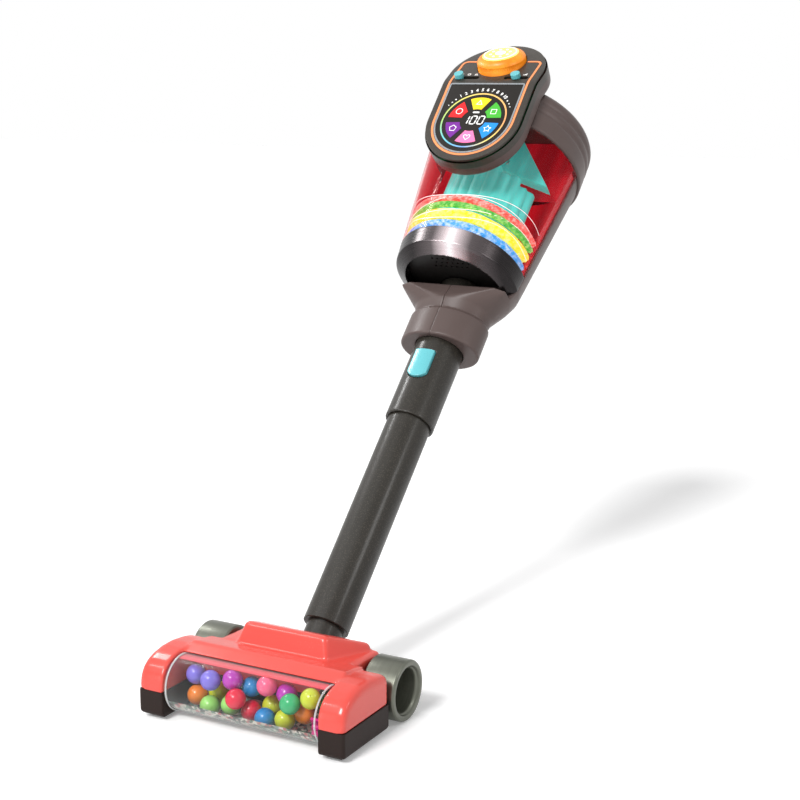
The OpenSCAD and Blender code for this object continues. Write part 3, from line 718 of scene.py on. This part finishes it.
class VacuumColours(PropertyGroup):
    shell: colour_setting("Shell", "Upper moulding of the head", (228, 79, 69))
    base: colour_setting("Base", "Lower moulding of the head", (40, 30, 27))
    wheel: colour_setting("Wheel", "Lacquer of the wheels", (104, 106, 96))
    wand: colour_setting("Wand", "Tubes of the wand", (38, 35, 30))
    body: colour_setting("Body", "Mouldings of the hand unit", (88, 75, 72))
    key: colour_setting("Key", "Release button and sliders", (98, 186, 194))
    bin: colour_setting("Canister", "Tinted wall of the canister", (205, 24, 40))
    arrow: colour_setting("Arrow", "Core inside the canister", (70, 196, 188))
    ring: colour_setting("Ring", "Lacquered ring under the canister", (62, 57, 58))
    plate: colour_setting("Plate", "Face of the panel", (52, 47, 41))
    line: colour_setting("Line", "Printed line round the panel", (245, 148, 96))
    lamp: colour_setting("Lamp", "Light button", (226, 120, 6))
    violet: colour_setting("Violet ball", "Popping balls", (127, 112, 216))
    magenta: colour_setting("Magenta ball", "Popping balls", (178, 40, 172))
    blue: colour_setting("Blue ball", "Popping balls", (14, 130, 200))
    pink: colour_setting("Pink ball", "Popping balls", (242, 92, 138))
    yellow: colour_setting("Yellow ball", "Popping balls", (214, 218, 36))
    orange: colour_setting("Orange ball", "Popping balls", (238, 128, 30))
    lime: colour_setting("Lime ball", "Popping balls", (155, 224, 108))
    red: colour_setting("Red ball", "Popping balls", (226, 26, 60))
    green: colour_setting("Green ball", "Popping balls", (50, 178, 112))


def sizes():
    return bpy.context.scene.toyvac_sizes


def colours():
    return bpy.context.scene.toyvac_colours


def body_plastic():
    return plastic("warm_grey_plastic", colours().body, rough=0.4, grain=0.05, specular_ior_level=0.25)


def key_plastic():
    return plastic("teal_plastic", colours().key, rough=0.28, grain=0.03, specular_ior_level=0.5)


def black_plastic():
    return plastic("black_plastic", srgb(26, 24, 23), rough=0.45, specular_ior_level=0.3)


# Operators


class TOYVAC_OT_stage(Operator):
    """Floor, soft light, white surround and camera"""

    bl_idname = "toyvac.stage"
    bl_label = "Stage"

    def execute(self, context):
        scene = context.scene
        scene.view_settings.view_transform = "Standard"
        self.floor()
        self.surround(scene)
        lens = bpy.data.cameras.new("camera")
        lens.lens = LENS
        lens.sensor_width = SENSOR
        camera = linked("camera", lens)
        camera.location = CAMERA_AT
        camera.rotation_euler = (math.radians(CAMERA_PITCH), 0, math.radians(CAMERA_HEADING))
        scene.camera = camera
        sun = bpy.data.lights.new("key", "SUN")
        sun.energy = SUN_ENERGY
        sun.angle = math.radians(SUN_SPREAD)
        self.aim("key", sun, SUN_FROM, (0, 0, 0))
        for name, place, goal, size, energy in SOFTBOXES:
            box = bpy.data.lights.new(name, "AREA")
            box.size = size
            box.energy = energy
            self.aim(name, box, place, goal)
        return {"FINISHED"}

    def aim(self, name, data, place, goal):
        obj = linked(name, data)
        obj.location = place
        obj.rotation_euler = (Vector(goal) - Vector(place)).to_track_quat("-Z", "Y").to_euler()

    def seen(self, finish):
        """One for what the camera, a reflection or a clear wall looks at."""
        camera = finish.add("LightPath", out=0)
        glossy = finish.add("LightPath", out=3)
        through = finish.add("LightPath", out=6)
        return finish.math("MINIMUM", camera + glossy + through, 1.0)

    def floor(self):
        bm = bmesh.new()
        bmesh.ops.create_grid(bm, x_segments=8, y_segments=8, size=9)
        bmesh.ops.translate(bm, verts=bm.verts, vec=(0, 0, FLOOR_LEVEL))
        mesh = mesh_of(bm, "floor")
        finish = Finish("pale_floor")
        cloud = finish.noise(3, 3)
        tone = finish.mix(cloud, (0.95, 0.95, 0.955), (0.97, 0.97, 0.97))
        matt = finish.add("BsdfDiffuse", {}, {"Color": tone})
        strength = self.seen(finish) * FLOOR_LIFT
        lift = finish.add("Emission", {}, {"Color": (1, 1, 1, 1), "Strength": strength})
        mesh.materials.append(finish.close(finish.add("AddShader", {}, {0: matt, 1: lift})))
        floor = linked("floor", mesh)

    def surround(self, scene):
        finish = Finish("surround", "worlds")
        strength = self.seen(finish) * (1 - AMBIENT) + AMBIENT
        light = finish.add("Background", {}, {"Color": (1, 1, 1, 1), "Strength": strength})
        scene.world = finish.close(light, "OutputWorld")


class TOYVAC_OT_head(Operator):
    """Red upper moulding and dark lower moulding of the floor head"""

    bl_idname = "toyvac.head"
    bl_label = "Head"

    def execute(self, context):
        grid = sizes().shell_grid
        red = plastic("coral_plastic", colours().shell, rough=0.24, grain=0.03, tint=0.05)
        dark = plastic("dark_bumper", colours().base, rough=0.5, grain=0.16, specular_ior_level=0.15)
        skin("head_shell", "head", red, grid, 20)
        skin("head_base", "head", dark, grid, 6)
        dress(black_plastic(), "glide_strip")
        return {"FINISHED"}


class TOYVAC_OT_bin(Operator):
    """Clear ball bin with its lips, printed liner, red back and paddle"""

    bl_idname = "toyvac.bin"
    bl_label = "Ball bin"

    def execute(self, context):
        place = HEAD @ move(0, 26.5, 28.5) @ turn(90, "Y")
        profile = [(0, -79), (24.6, -79), (26, -77.6), (26, 77.6), (24.6, 79), (0, 79)]
        profile += [(0, 77.5), (23.6, 77.5), (24.5, 76.6), (24.5, -76.6), (23.6, -77.5), (0, -77.5)]
        wall = clear("clear_window", (0.992, 0.992, 0.992), srgb(214, 222, 222), body=0.015, rim=0.45)
        window = ease(lathe(profile, 128), 0.35)
        piece("bin_window", window, "head", wall, ["ball_window"], place)
        sheet = [(24.3, -76), (24.3, 76), (23.8, 76), (23.8, -76)]
        liner = lathe(sheet, 40, 124.0, -64.0)
        piece("bin_liner", liner, "head", confetti("flecked_liner"), (), place)
        # The red back of the ball bin has a painted glow.
        back = plastic("bin_back_red", srgb(226, 44, 66), rough=0.3, grain=0.03, tint=0.12, glow=0.16)
        piece("bin_back", lathe(sheet, 40, 96.0, 96.0), "head", back, (), place)
        lip = [(25.0, 75.4), (26.05, 75.4), (26.05, 77.0), (25.0, 77.0)]
        lips = [(ease(lathe(lip, 96), 0.3), turn(angle)) for angle in (180, 0)]
        frost = clear("clear_lip", (0.96, 0.97, 0.97), srgb(240, 242, 242), body=0.4, rim=0.5)
        piece("bin_lips", gather(lips), "head", frost, (), place)
        dress(plastic("magenta_plastic", srgb(214, 31, 134), rough=0.3), "popper_paddle")
        return {"FINISHED"}


class TOYVAC_OT_balls(Operator):
    """Popping balls, with a mould seam and a gate mark each"""

    bl_idname = "toyvac.balls"
    bl_label = "Balls"

    def execute(self, context):
        draw = random.Random(7)
        for name, places in BALLS.items():
            parts = [(self.ball(), move(*spot) @ self.tumble(draw)) for spot in places]
            finish = plastic("ball_" + name, getattr(colours(), name), rough=0.26, grain=0.03, tint=0.04)
            balls = gather(parts)
            piece("ball_set_" + name, balls, "head", finish, ["balls_" + name], HEAD)
        return {"FINISHED"}

    def tumble(self, draw):
        return Euler([draw.uniform(0, 6.28) for _ in range(3)]).to_matrix().to_4x4()

    def ball(self):
        """A ball in millimetres, from its diameter in metres."""
        radius = sizes().ball * 500
        bm = bmesh.new()
        bmesh.ops.create_uvsphere(bm, u_segments=40, v_segments=26, radius=radius)
        seam = [v for v in bm.verts if abs(v.co.z) < 0.05]
        bmesh.ops.scale(bm, verts=seam, vec=(SEAM_SHARE, SEAM_SHARE, 1))
        gate = [v for v in bm.verts if v.co.z > radius - 0.001]
        bmesh.ops.translate(bm, verts=gate, vec=(0, 0, -GATE_DEPTH))
        return bm


class TOYVAC_OT_wheels(Operator):
    """Hollow rear wheels with a rolled lip"""

    bl_idname = "toyvac.wheels"
    bl_label = "Wheels"

    def execute(self, context):
        profile = [(3.05, 0), (25.9, 0), (27.4, 1.5), (27.4, 31.4), (26.4, 32.8), (25.6, 33)]
        profile += [(23, 33), (22.2, 32.6), (21.4, 30.6), (20.2, 29.6), (19.6, 28), (19.4, 7)]
        profile += [(8, 5), (8, 11), (3.05, 11)]
        parts = []
        for side in (1, -1):
            spot = move(side * 74.3, 105.5, 27.4) @ turn(side * 90, "Y")
            parts.append((ease(lathe(profile, 128), 0.35, 25), spot))
        lacquer = brushed("wheel_lacquer", colours().wheel, rough=0.36, metallic=0.7)
        piece("wheel_pair", gather(parts), "wheel_set", lacquer, ["wheels"], HEAD)
        return {"FINISHED"}


class TOYVAC_OT_wand(Operator):
    """Telescoping tubes of the wand, its pivot and its sleeve"""

    bl_idname = "toyvac.wand"
    bl_label = "Wand"

    def execute(self, context):
        satin = plastic(
            "wand_satin",
            colours().wand,
            rough=0.4,
            grain=0.1,
            size=2100,
            flake=0.5,
            specular_ior_level=0.25,
            coat_weight=0.18,
            coat_roughness=0.16,
        )
        skin("lower_tube", "wand", satin, sizes().fine_grid, 4)
        profile = [(17.6, 46), (21.4, 46), (22, 46.6), (22, 301.4), (21.4, 302), (17.1, 302)]
        middle = lathe(profile + [(17.1, 103), (17.6, 102)], 96)
        piece("middle_tube_skin", middle, "wand", satin, ["middle_tube"], TUBE)
        skin("upper_sleeve", "wand", satin, sizes().shell_grid, 4)
        dress(black_plastic(), "wand_knuckle")
        return {"FINISHED"}


class TOYVAC_OT_release(Operator):
    """Release button in the sleeve"""

    bl_idname = "toyvac.release"
    bl_label = "Release button"

    def execute(self, context):
        skin("release_button", "release", key_plastic(), sizes().key_grid, 8)
        return {"FINISHED"}


class TOYVAC_OT_body(Operator):
    """Grey shells of the hand unit, the grip and the lacquered ring with its sound grille"""

    bl_idname = "toyvac.body"
    bl_label = "Hand unit"

    def execute(self, context):
        grid = sizes().shell_grid
        for node in ("body_shell_left", "body_shell_right"):
            skin(node, "unit", body_plastic(), grid, 7)
        rubber = plastic("grip_rubber", srgb(38, 35, 34), rough=0.6, grain=0.3, specular_ior_level=0.25)
        skin("hand_grip", "unit", rubber, grid, 9)
        # The ring's lacquer has a painted highlight near the middle of its front and painted shade
        # towards its sides.
        lacquer = brushed(
            "ring_lacquer",
            colours().ring,
            rough=0.26,
            metallic=0.8,
            stretch=(1, 1, 0.02),
            lean=WAND_LEAN,
            painted_highlight=(0.014, 0.044),
        )
        skin("canister_ring", "unit", lacquer, sizes().trim_grid, 6)
        dress(black_plastic(), "speaker_grille", "speaker")
        return {"FINISHED"}


class TOYVAC_OT_canister(Operator):
    """Tinted canister wall, its red back and lining, and the pleated arrow inside"""

    bl_idname = "toyvac.canister"
    bl_label = "Canister"

    def execute(self, context):
        tint = colours().bin
        wall = clear("canister_wall", (1.0, 0.96, 0.96), tint, body=0.02, rim=0.6)
        piece("canister_wall", node_copy("canister"), "unit", wall, ["canister"], smooth=25.0)
        # The red back, the lining and the sheet behind the arrow glow with painted light.
        red = streaked("canister_red", tint, 0.42)
        skin("canister_back", "unit", red, sizes().broad_grid, 4)
        sides = [(lathe(self.lining(), 24, arc, start), HERE) for start, arc in ((172, 35), (0, 8))]
        sides.append((slab(rounded_box(0, 596, 148, 80, 3), 10, 11), HERE))
        piece("canister_lining", gather(sides), "unit", red, (), CANISTER)
        teal = colours().arrow
        pale = shade(teal, 1.35)
        # The arrow core's glow is painted light.
        painted_glow_finish = glowing("arrow_teal", teal, 0.34, pale, grain=160.0, stretch=(1, 1, 9))
        skin("arrow_core", "unit", painted_glow_finish, sizes().broad_grid, 3)
        return {"FINISHED"}

    def lining(self):
        """Thin sheet inside the wall of the canister, above the light guides."""
        low, high = (70.0, 498), (79.2, 588)
        return [low, high, *((radius - LINING_T, height) for radius, height in (high, low))]


class TOYVAC_OT_swirls(Operator):
    """Twisted light guides in four colours, with fine white threads round them"""

    bl_idname = "toyvac.swirls"
    bl_label = "Light guides"

    def execute(self, context):
        hues = {
            "blue": (srgb(24, 150, 224), srgb(225, 246, 252)),
            "yellow": (srgb(245, 222, 30), srgb(255, 250, 200)),
            "green": (srgb(45, 165, 60), srgb(190, 235, 150)),
            "red": (srgb(238, 84, 76), srgb(255, 226, 218)),
        }
        for name, (height, radius, width, count) in SWIRLS.items():
            parts = []
            for k in range(count):
                path = self.twist(height, radius, width * STRAND_SPREAD, 360.0 * k / count)
                parts.append((strand(path, width * STRAND_R), HERE))
            deep, pale = hues[name]
            finish = glowing("guide_" + name, deep, 0.62, pale, 260.0)
            node = "swirl_" + name
            piece("guide_" + name, gather(parts), "unit", finish, [node], CANISTER)
        threads = []
        for height, radius, swing, phase, turns in (
            (470, 67.4, 4.8, 20, 1.5),
            (480, 68.0, 6.4, 130, 1.0),
            (488, 68.6, 9.6, 250, 0.75),
            (499, 70.3, 6.4, 60, 1.25),
        ):
            path = self.orbit(height, radius, swing, phase, turns)
            threads.append((strand(path, 0.32), HERE))
        white = glowing("guide_thread", (0.95, 0.95, 0.95), 0.5, (1, 1, 1))
        piece("guide_threads", gather(threads), "unit", white, (), CANISTER)
        return {"FINISHED"}

    def sweep(self, steps, first, angle):
        """Shares of the way round the front of the canister, each with its angle."""
        shares = [i / steps for i in range(steps + 1)]
        return [(share, math.radians(first + angle * share)) for share in shares]

    def twist(self, height, radius, spread, phase):
        """A strand that winds round the middle line of its guide."""
        points = []
        for share, around in self.sweep(140, 177, 186):
            roll = math.radians(phase + 360 * STRAND_TURNS * share)
            reach = radius + spread * math.cos(roll)
            level = height + spread * math.sin(roll)
            points.append((reach * math.cos(around), reach * math.sin(around), level))
        return points

    def orbit(self, height, radius, swing, phase, turns):
        """A thread that rises and sinks on its way round."""
        points = []
        for share, around in self.sweep(120, 180, 180):
            lift = swing * math.sin(math.radians(phase + 360 * turns * share))
            points.append((radius * math.cos(around), radius * math.sin(around), height + lift))
        return points


class TOYVAC_OT_cap(Operator):
    """Stepped cap and its battery door"""

    bl_idname = "toyvac.cap"
    bl_label = "Cap"

    def execute(self, context):
        skin("top_cap", "unit", body_plastic(), sizes().cap_grid, 3)
        skin("battery_door", "unit", body_plastic(), sizes().trim_grid, 5)
        return {"FINISHED"}


class TOYVAC_OT_panel(Operator):
    """Folded housing and face plate with the printed line and the marks over the slots"""

    bl_idname = "toyvac.panel"
    bl_label = "Panel"

    def execute(self, context):
        face = plastic(
            "plate_satin",
            colours().plate,
            rough=0.36,
            grain=0.08,
            size=2100,
            flake=0.25,
            specular_ior_level=0.4,
        )
        tones = [face, body_plastic()]
        housing = fold(self.housing())
        piece("panel_housing_skin", housing, "unit", tones, ["panel_housing"], PANEL)
        holes = [rounded_box(side * SLOT_X, SLOT_W, *SLOT_SIZE) for side in (-1, 1)]
        holes.append(polygon(LAMP_HOLE, 72, centre=(0, LAMP_W)))
        plate = fold(slab(stadium(PLATE_R), 0, PLATE_T, holes, 2.4))
        piece("face_plate_skin", plate, "unit", face, ["face_plate"], PANEL)
        # The printed line and the marks over the slots carry a painted glow.
        orange = paint("line_orange", colours().line, 0.2)
        line = fold(band(self.line_path(), sizes().line * 1000, -0.3, PRINT_DEPTH, self.beside_lamp))
        piece("panel_line", line, "unit", orange, (), PANEL)
        silver = brushed("line_silver", srgb(158, 162, 166), 0.3, 0.6)
        rim = fold(band(window_outline(43.2, 50.0, 3.0), 1.9, -0.5, PRINT_DEPTH))
        piece("dial_rim", rim, "unit", silver, (), PANEL)
        white = paint("print_white", WHITE, 0.15)
        piece("slot_marks", fold(self.marks()), "unit", white, (), PANEL)
        return {"FINISHED"}

    def housing(self):
        """An open tray with rounded rims, in two colours."""
        bm = slab(stadium(HOUSE_R), HOUSE_FRONT, HOUSE_BACK)
        front = max(bm.faces, key=lambda f: -f.calc_center_median().y)
        rear = max(bm.faces, key=lambda f: f.calc_center_median().y)
        rear_edges = rear.edges[:]
        front_edges = front.edges[:]
        bmesh.ops.inset_region(bm, faces=[front], thickness=HOUSE_WALL, use_even_offset=True)
        bmesh.ops.translate(bm, verts=front.verts[:], vec=(0, HOUSE_HOLLOW, 0))
        round_rim(bm, rear_edges, 5.0, 5)
        round_rim(bm, [e for e in front_edges if e.is_valid], 0.8, 2)
        self.two_tone(bm, TONE_DEPTH)
        return bm

    def two_tone(self, bm, depth):
        """The rim of the housing takes the plate's colour down to a depth."""
        cut(bm, (0, depth, 0), (0, 1, 0))
        for face in bm.faces:
            face.material_index = int(face.calc_center_median().y > depth)

    def line_path(self):
        """Round below, with a straight top in short steps, so that it can stop beside the lamp."""
        side = LINE_R - LINE_CORNER
        top = LINE_TOP - LINE_CORNER
        steps = 60
        points = arc_points(LINE_R, 180, 360, 56)
        points += arc_points(LINE_CORNER, 0, 90, 8, (side, top))
        points += [(side - 2 * side * i / steps, LINE_TOP) for i in range(1, steps)]
        return points + arc_points(LINE_CORNER, 90, 180, 8, (-side, top))

    def beside_lamp(self, spot):
        return math.hypot(spot.x, spot.z - LAMP_W) > LAMP_CLEAR

    def marks(self):
        """Small plain signs over the slots: shapes on the left, rising bars on the right."""
        depths = (-0.25, PRINT_DEPTH)
        level = SLOT_W + 6.2
        parts = [
            band(rounded_box(-37, level, 3.6, 3.6, 0.8), 0.7, *depths),
            band(polygon(1.9, 24, centre=(-28.4, level)), 0.7, *depths),
            band(polygon(2.3, 3, 90, (-20, level - 0.4)), 0.6, *depths),
        ]
        for group, bars in ((20, 1), (27.5, 2), (36, 3)):
            for k in range(bars):
                tall = 1.6 + 0.9 * k
                spot = group + 1.5 * (k - (bars - 1) / 2)
                parts.append(slab(rounded_box(spot, level - 1.6 + tall / 2, 1.0, tall, 0.3), *depths))
        return gather([(part, HERE) for part in parts])


class TOYVAC_OT_dial(Operator):
    """Dial with a painted glow in its prints: rainbow ring, figures, six coloured sectors and their signs
    """

    bl_idname = "toyvac.dial"
    bl_label = "Dial"

    sectors = (
        ("yellow", 90, (244, 212, 40)),
        ("green", 30, (70, 170, 56)),
        ("blue", -30, (40, 136, 214)),
        ("pink", -90, (240, 120, 170)),
        ("purple", -150, (112, 44, 140)),
        ("red", 150, (228, 40, 44)),
    )

    def execute(self, context):
        glass = plastic("dial_glass", srgb(34, 31, 28), rough=0.36, grain=0.02, specular_ior_level=0.2)
        disc = fold(slab(window_outline(41.5, 48.0, 2.0), -0.2, 1.0, (), 0.15))
        piece("dial_disc", disc, "unit", glass, ["dial"], PANEL)
        ring = band(polygon(36.0, 120), 1.6, -0.45, PRINT_DEPTH)
        layer = ring.loops.layers.uv.new("dial_map")
        for face in ring.faces:
            for loop in face.loops:
                loop[layer].uv = (loop.vert.co.x / 100 + 0.5, loop.vert.co.z / 100 + 0.5)
        piece("dial_ring", ring, "unit", rainbow("ring_rainbow"), (), PANEL)
        white = paint("print_white", WHITE, 0.15)
        marks = []
        for name, angle, colour in self.sectors:
            painted_glow_finish = paint("sector_" + name, srgb(*colour), 0.3)
            piece("sector_" + name, self.sector(angle), "unit", painted_glow_finish, (), PANEL)
            marks.append((self.sign(name), self.spot(angle, 22.6)))
        piece("sector_signs", gather(marks), "unit", white, (), PANEL)
        piece("dial_figures", fold(gather(self.figures())), "unit", white, (), PANEL)
        piece("dial_count", gather(self.count()), "unit", white, (), PANEL)
        return {"FINISHED"}

    def spot(self, angle, radius):
        a = math.radians(angle)
        return move(radius * math.cos(a), 0, radius * math.sin(a))

    def sector(self, angle):
        points = arc_points(30.0, angle - 23, angle + 23, 12)
        points += arc_points(14.6, angle + 18, angle - 18, 8)
        return slab(points, -0.55, PRINT_DEPTH)

    def sign(self, name):
        outlines = {
            "yellow": polygon(4.2, 3, 90),
            "green": polygon(4.6, 4, 45),
            "blue": self.star(4.8, 2.6),
            "pink": self.heart(),
            "purple": polygon(4.4, 5, 90),
            "red": polygon(3.9, 36),
        }
        return band(outlines[name], 0.75, -0.75, -0.3)

    def star(self, tip, notch):
        spots = zip(polygon(tip, 5, 90), polygon(notch, 5, 126))
        return [point for pair in spots for point in pair]

    def heart(self):
        lobes = arc_points(2.05, 0, 165, 10, (2.0, 1.2)) + arc_points(2.05, 15, 180, 10, (-2.0, 1.2))
        return lobes + [(-3.5, -0.6), (0, -4.0), (3.5, -0.6)]

    def figures(self):
        parts = []
        for k in range(10):
            angle = 128 - 8.6 * k
            place = self.spot(angle, 40.6) @ turn(angle - 90, "Y").inverted()
            parts.append((figure(str(k + 1), 5.4, -0.45, 0.4), place))
        for angle, radius in ((137, 0.9), (144, 0.75), (151, 0.6), (41, 0.9), (34, 0.75), (27, 0.6)):
            dot = slab(polygon(radius, 18), -0.45, 0.0)
            parts.append((dot, self.spot(angle, 39.8)))
        return parts

    def count(self):
        """The number 100 in seven-bar figures, with a small pill above it."""
        slant = HERE.copy()
        slant[0][2] = 0.12
        parts = []
        bars = {
            "a": (0, 5.2, 4.6, 1.25),
            "d": (0, -5.2, 4.6, 1.25),
            "b": (2.9, 2.6, 1.25, 4.3),
            "c": (2.9, -2.6, 1.25, 4.3),
            "e": (-2.9, -2.6, 1.25, 4.3),
            "f": (-2.9, 2.6, 1.25, 4.3),
        }
        for centre, shown in ((-8.6, "bc"), (0.2, "abcdef"), (8.8, "abcdef")):
            for key in shown:
                x, w, width, height = bars[key]
                bar = slab(rounded_box(x, w, width, height, 0.45), -0.6, PRINT_DEPTH)
                parts.append((bar, slant @ move(centre, 0, 0)))
        parts.append((slab(rounded_box(0, 10.2, 7.5, 2.0, 0.9), -0.6, PRINT_DEPTH), HERE))
        return parts


class TOYVAC_OT_sliders(Operator):
    """Mode and volume sliders"""

    bl_idname = "toyvac.sliders"
    bl_label = "Sliders"

    def execute(self, context):
        for name in ("mode", "volume"):
            skin(name + "_slider", name, key_plastic(), sizes().key_grid, 6)
        return {"FINISHED"}


class TOYVAC_OT_light(Operator):
    """Light button: ribbed amber skirt, bright lens with a sun sign"""

    bl_idname = "toyvac.light"
    bl_label = "Light button"

    def execute(self, context):
        amber = glowing("lamp_amber", colours().lamp, 0.35, srgb(250, 165, 40), 60.0, 0.0)
        piece("light_button_skin", self.skirt(), "light", amber, ["light_button"], LAMP)
        bright = glowing("lamp_bright", srgb(255, 224, 96), 0.75, srgb(255, 246, 180), 60.0, 0.0)
        lens = ease(lathe([(0, 10.2), (19.4, 10.0), (19.4, 10.7), (18.6, 11.1), (0, 11.5)], 96), 0.25, 25)
        piece("light_lens", lens, "light", bright, (), LAMP)
        white = glowing("lamp_white", (0.95, 0.93, 0.85), 0.7, (1, 1, 0.95))
        piece("light_sign", gather(self.sun()), "light", white, (), LAMP @ turn(-90))
        return {"FINISHED"}

    def skirt(self):
        profile = [(0, 10.6), (19.6, 10.2), (21.4, 9.7), (23.4, 8.5), (24.9, 6.9), (25.7, 5.4)]
        profile += [(26, 4.2), (26, 3.4), (26, -0.6), (26, -1.6), (26, -8), (27.6, -8), (27.6, -9.6)]
        profile += [(23, -9.6), (23, 3), (18, 7), (3, 7), (3, -9), (0, -9)]
        steps = 144
        bm = lathe(profile, steps)
        step = math.radians(360 / steps)
        wall = [v for v in bm.verts if 3.5 > v.co.z > -0.7 and v.co.xy.length > 25]
        ribs = [v for v in wall if round(math.atan2(v.co.y, v.co.x) / step) % 2]
        bmesh.ops.scale(bm, verts=ribs, vec=(RIB_SHARE, RIB_SHARE, 1))
        return bm

    def sun(self):
        """A ring, a disc and eight dots on the lens."""
        parts = [(band(polygon(17.6, 120), 0.9, -11.6, -10.8), HERE)]
        parts.append((slab(polygon(5.6, 36), -11.75, -11.1), HERE))
        for k in range(8):
            dot = slab(polygon(1.5, 18, centre=(0, 10.4)), -11.65, -10.9)
            parts.append((dot, turn(45 * k + 22.5, "Y")))
        return parts


class TOYVAC_OT_works(Operator):
    """Finishes of the inner parts: drive, springs, switches, batteries and screws"""

    bl_idname = "toyvac.works"
    bl_label = "Inner parts"

    def execute(self, context):
        rubber = plastic("belt_rubber", srgb(30, 27, 25), rough=0.6, grain=0.2)
        nylon = plastic("white_nylon", srgb(204, 199, 186), rough=0.4)
        steel = brushed("bright_steel", srgb(180, 180, 176), 0.3, 0.95)
        board = plastic("board_green", srgb(47, 122, 74), rough=0.4, grain=0.1)
        cell = brushed("cell_sleeve", srgb(190, 140, 60), 0.35, 0.5)
        glow = glowing("lamp_dome", srgb(255, 240, 190), 0.4, (1, 1, 0.95))
        dress(rubber, "popper_belt", "drive_belt")
        dress(nylon, "lay_shaft", "axle_pulley", "axle_bushes", "latch_block")
        dress(steel, "axle", "head_screws", "cap_screws", "battery_contacts")
        springs = (("release_spring", "wand", WAND @ turn(90)), ("button_spring", "unit", LAMP))
        for name, body, place in springs:
            piece(name + "_skin", self.shortened(name, place), body, steel, [name])
        dress(board, "circuit_board")
        dress(cell, "batteries")
        dress(black_plastic(), "battery_tray", "push_switch", "slide_switches")
        dress(glow, "lamp")
        return {"FINISHED"}

    def shortened(self, name, place):
        """A spring set down on its seat, with room above it for the travel of its button."""
        bm = node_copy(name)
        bm.transform(place.inverted())
        levels = [v.co.z for v in bm.verts]
        seat = min(levels)
        share = 1 - SPRING_ROOM / (max(levels) - seat)
        bm.transform(place @ move(0, 0, seat) @ Matrix.Diagonal((1, 1, share, 1)) @ move(0, 0, -seat))
        return bm


class TOYVAC_PT_panel(Panel):
    """Lists the pieces of the toy vacuum cleaner"""

    bl_idname = "TOYVAC_PT_panel"
    bl_label = "Toy vacuum"
    bl_space_type = "VIEW_3D"
    bl_region_type = "UI"
    bl_category = "Toy vacuum"

    def draw(self, context):
        for operator in OPERATORS:
            self.layout.operator(operator.bl_idname)
        for group in (context.scene.toyvac_sizes, context.scene.toyvac_colours):
            for key in group.__annotations__:
                self.layout.prop(group, key)


OPERATORS = (
    TOYVAC_OT_stage,
    TOYVAC_OT_head,
    TOYVAC_OT_bin,
    TOYVAC_OT_balls,
    TOYVAC_OT_wheels,
    TOYVAC_OT_wand,
    TOYVAC_OT_release,
    TOYVAC_OT_body,
    TOYVAC_OT_canister,
    TOYVAC_OT_swirls,
    TOYVAC_OT_cap,
    TOYVAC_OT_panel,
    TOYVAC_OT_dial,
    TOYVAC_OT_sliders,
    TOYVAC_OT_light,
    TOYVAC_OT_works,
)
CLASSES = (VacuumSizes, VacuumColours, *OPERATORS, TOYVAC_PT_panel)


def register():
    for cls in CLASSES:
        bpy.utils.register_class(cls)
    bpy.types.Scene.toyvac_sizes = PointerProperty(type=VacuumSizes)
    bpy.types.Scene.toyvac_colours = PointerProperty(type=VacuumColours)


def unregister():
    del bpy.types.Scene.toyvac_colours
    del bpy.types.Scene.toyvac_sizes
    for cls in reversed(CLASSES):
        bpy.utils.unregister_class(cls)


def main():
    register()
    for operator in OPERATORS:
        group, name = operator.bl_idname.split(".")
        getattr(getattr(bpy.ops, group), name)()


if __name__ == "__main__":
    main()
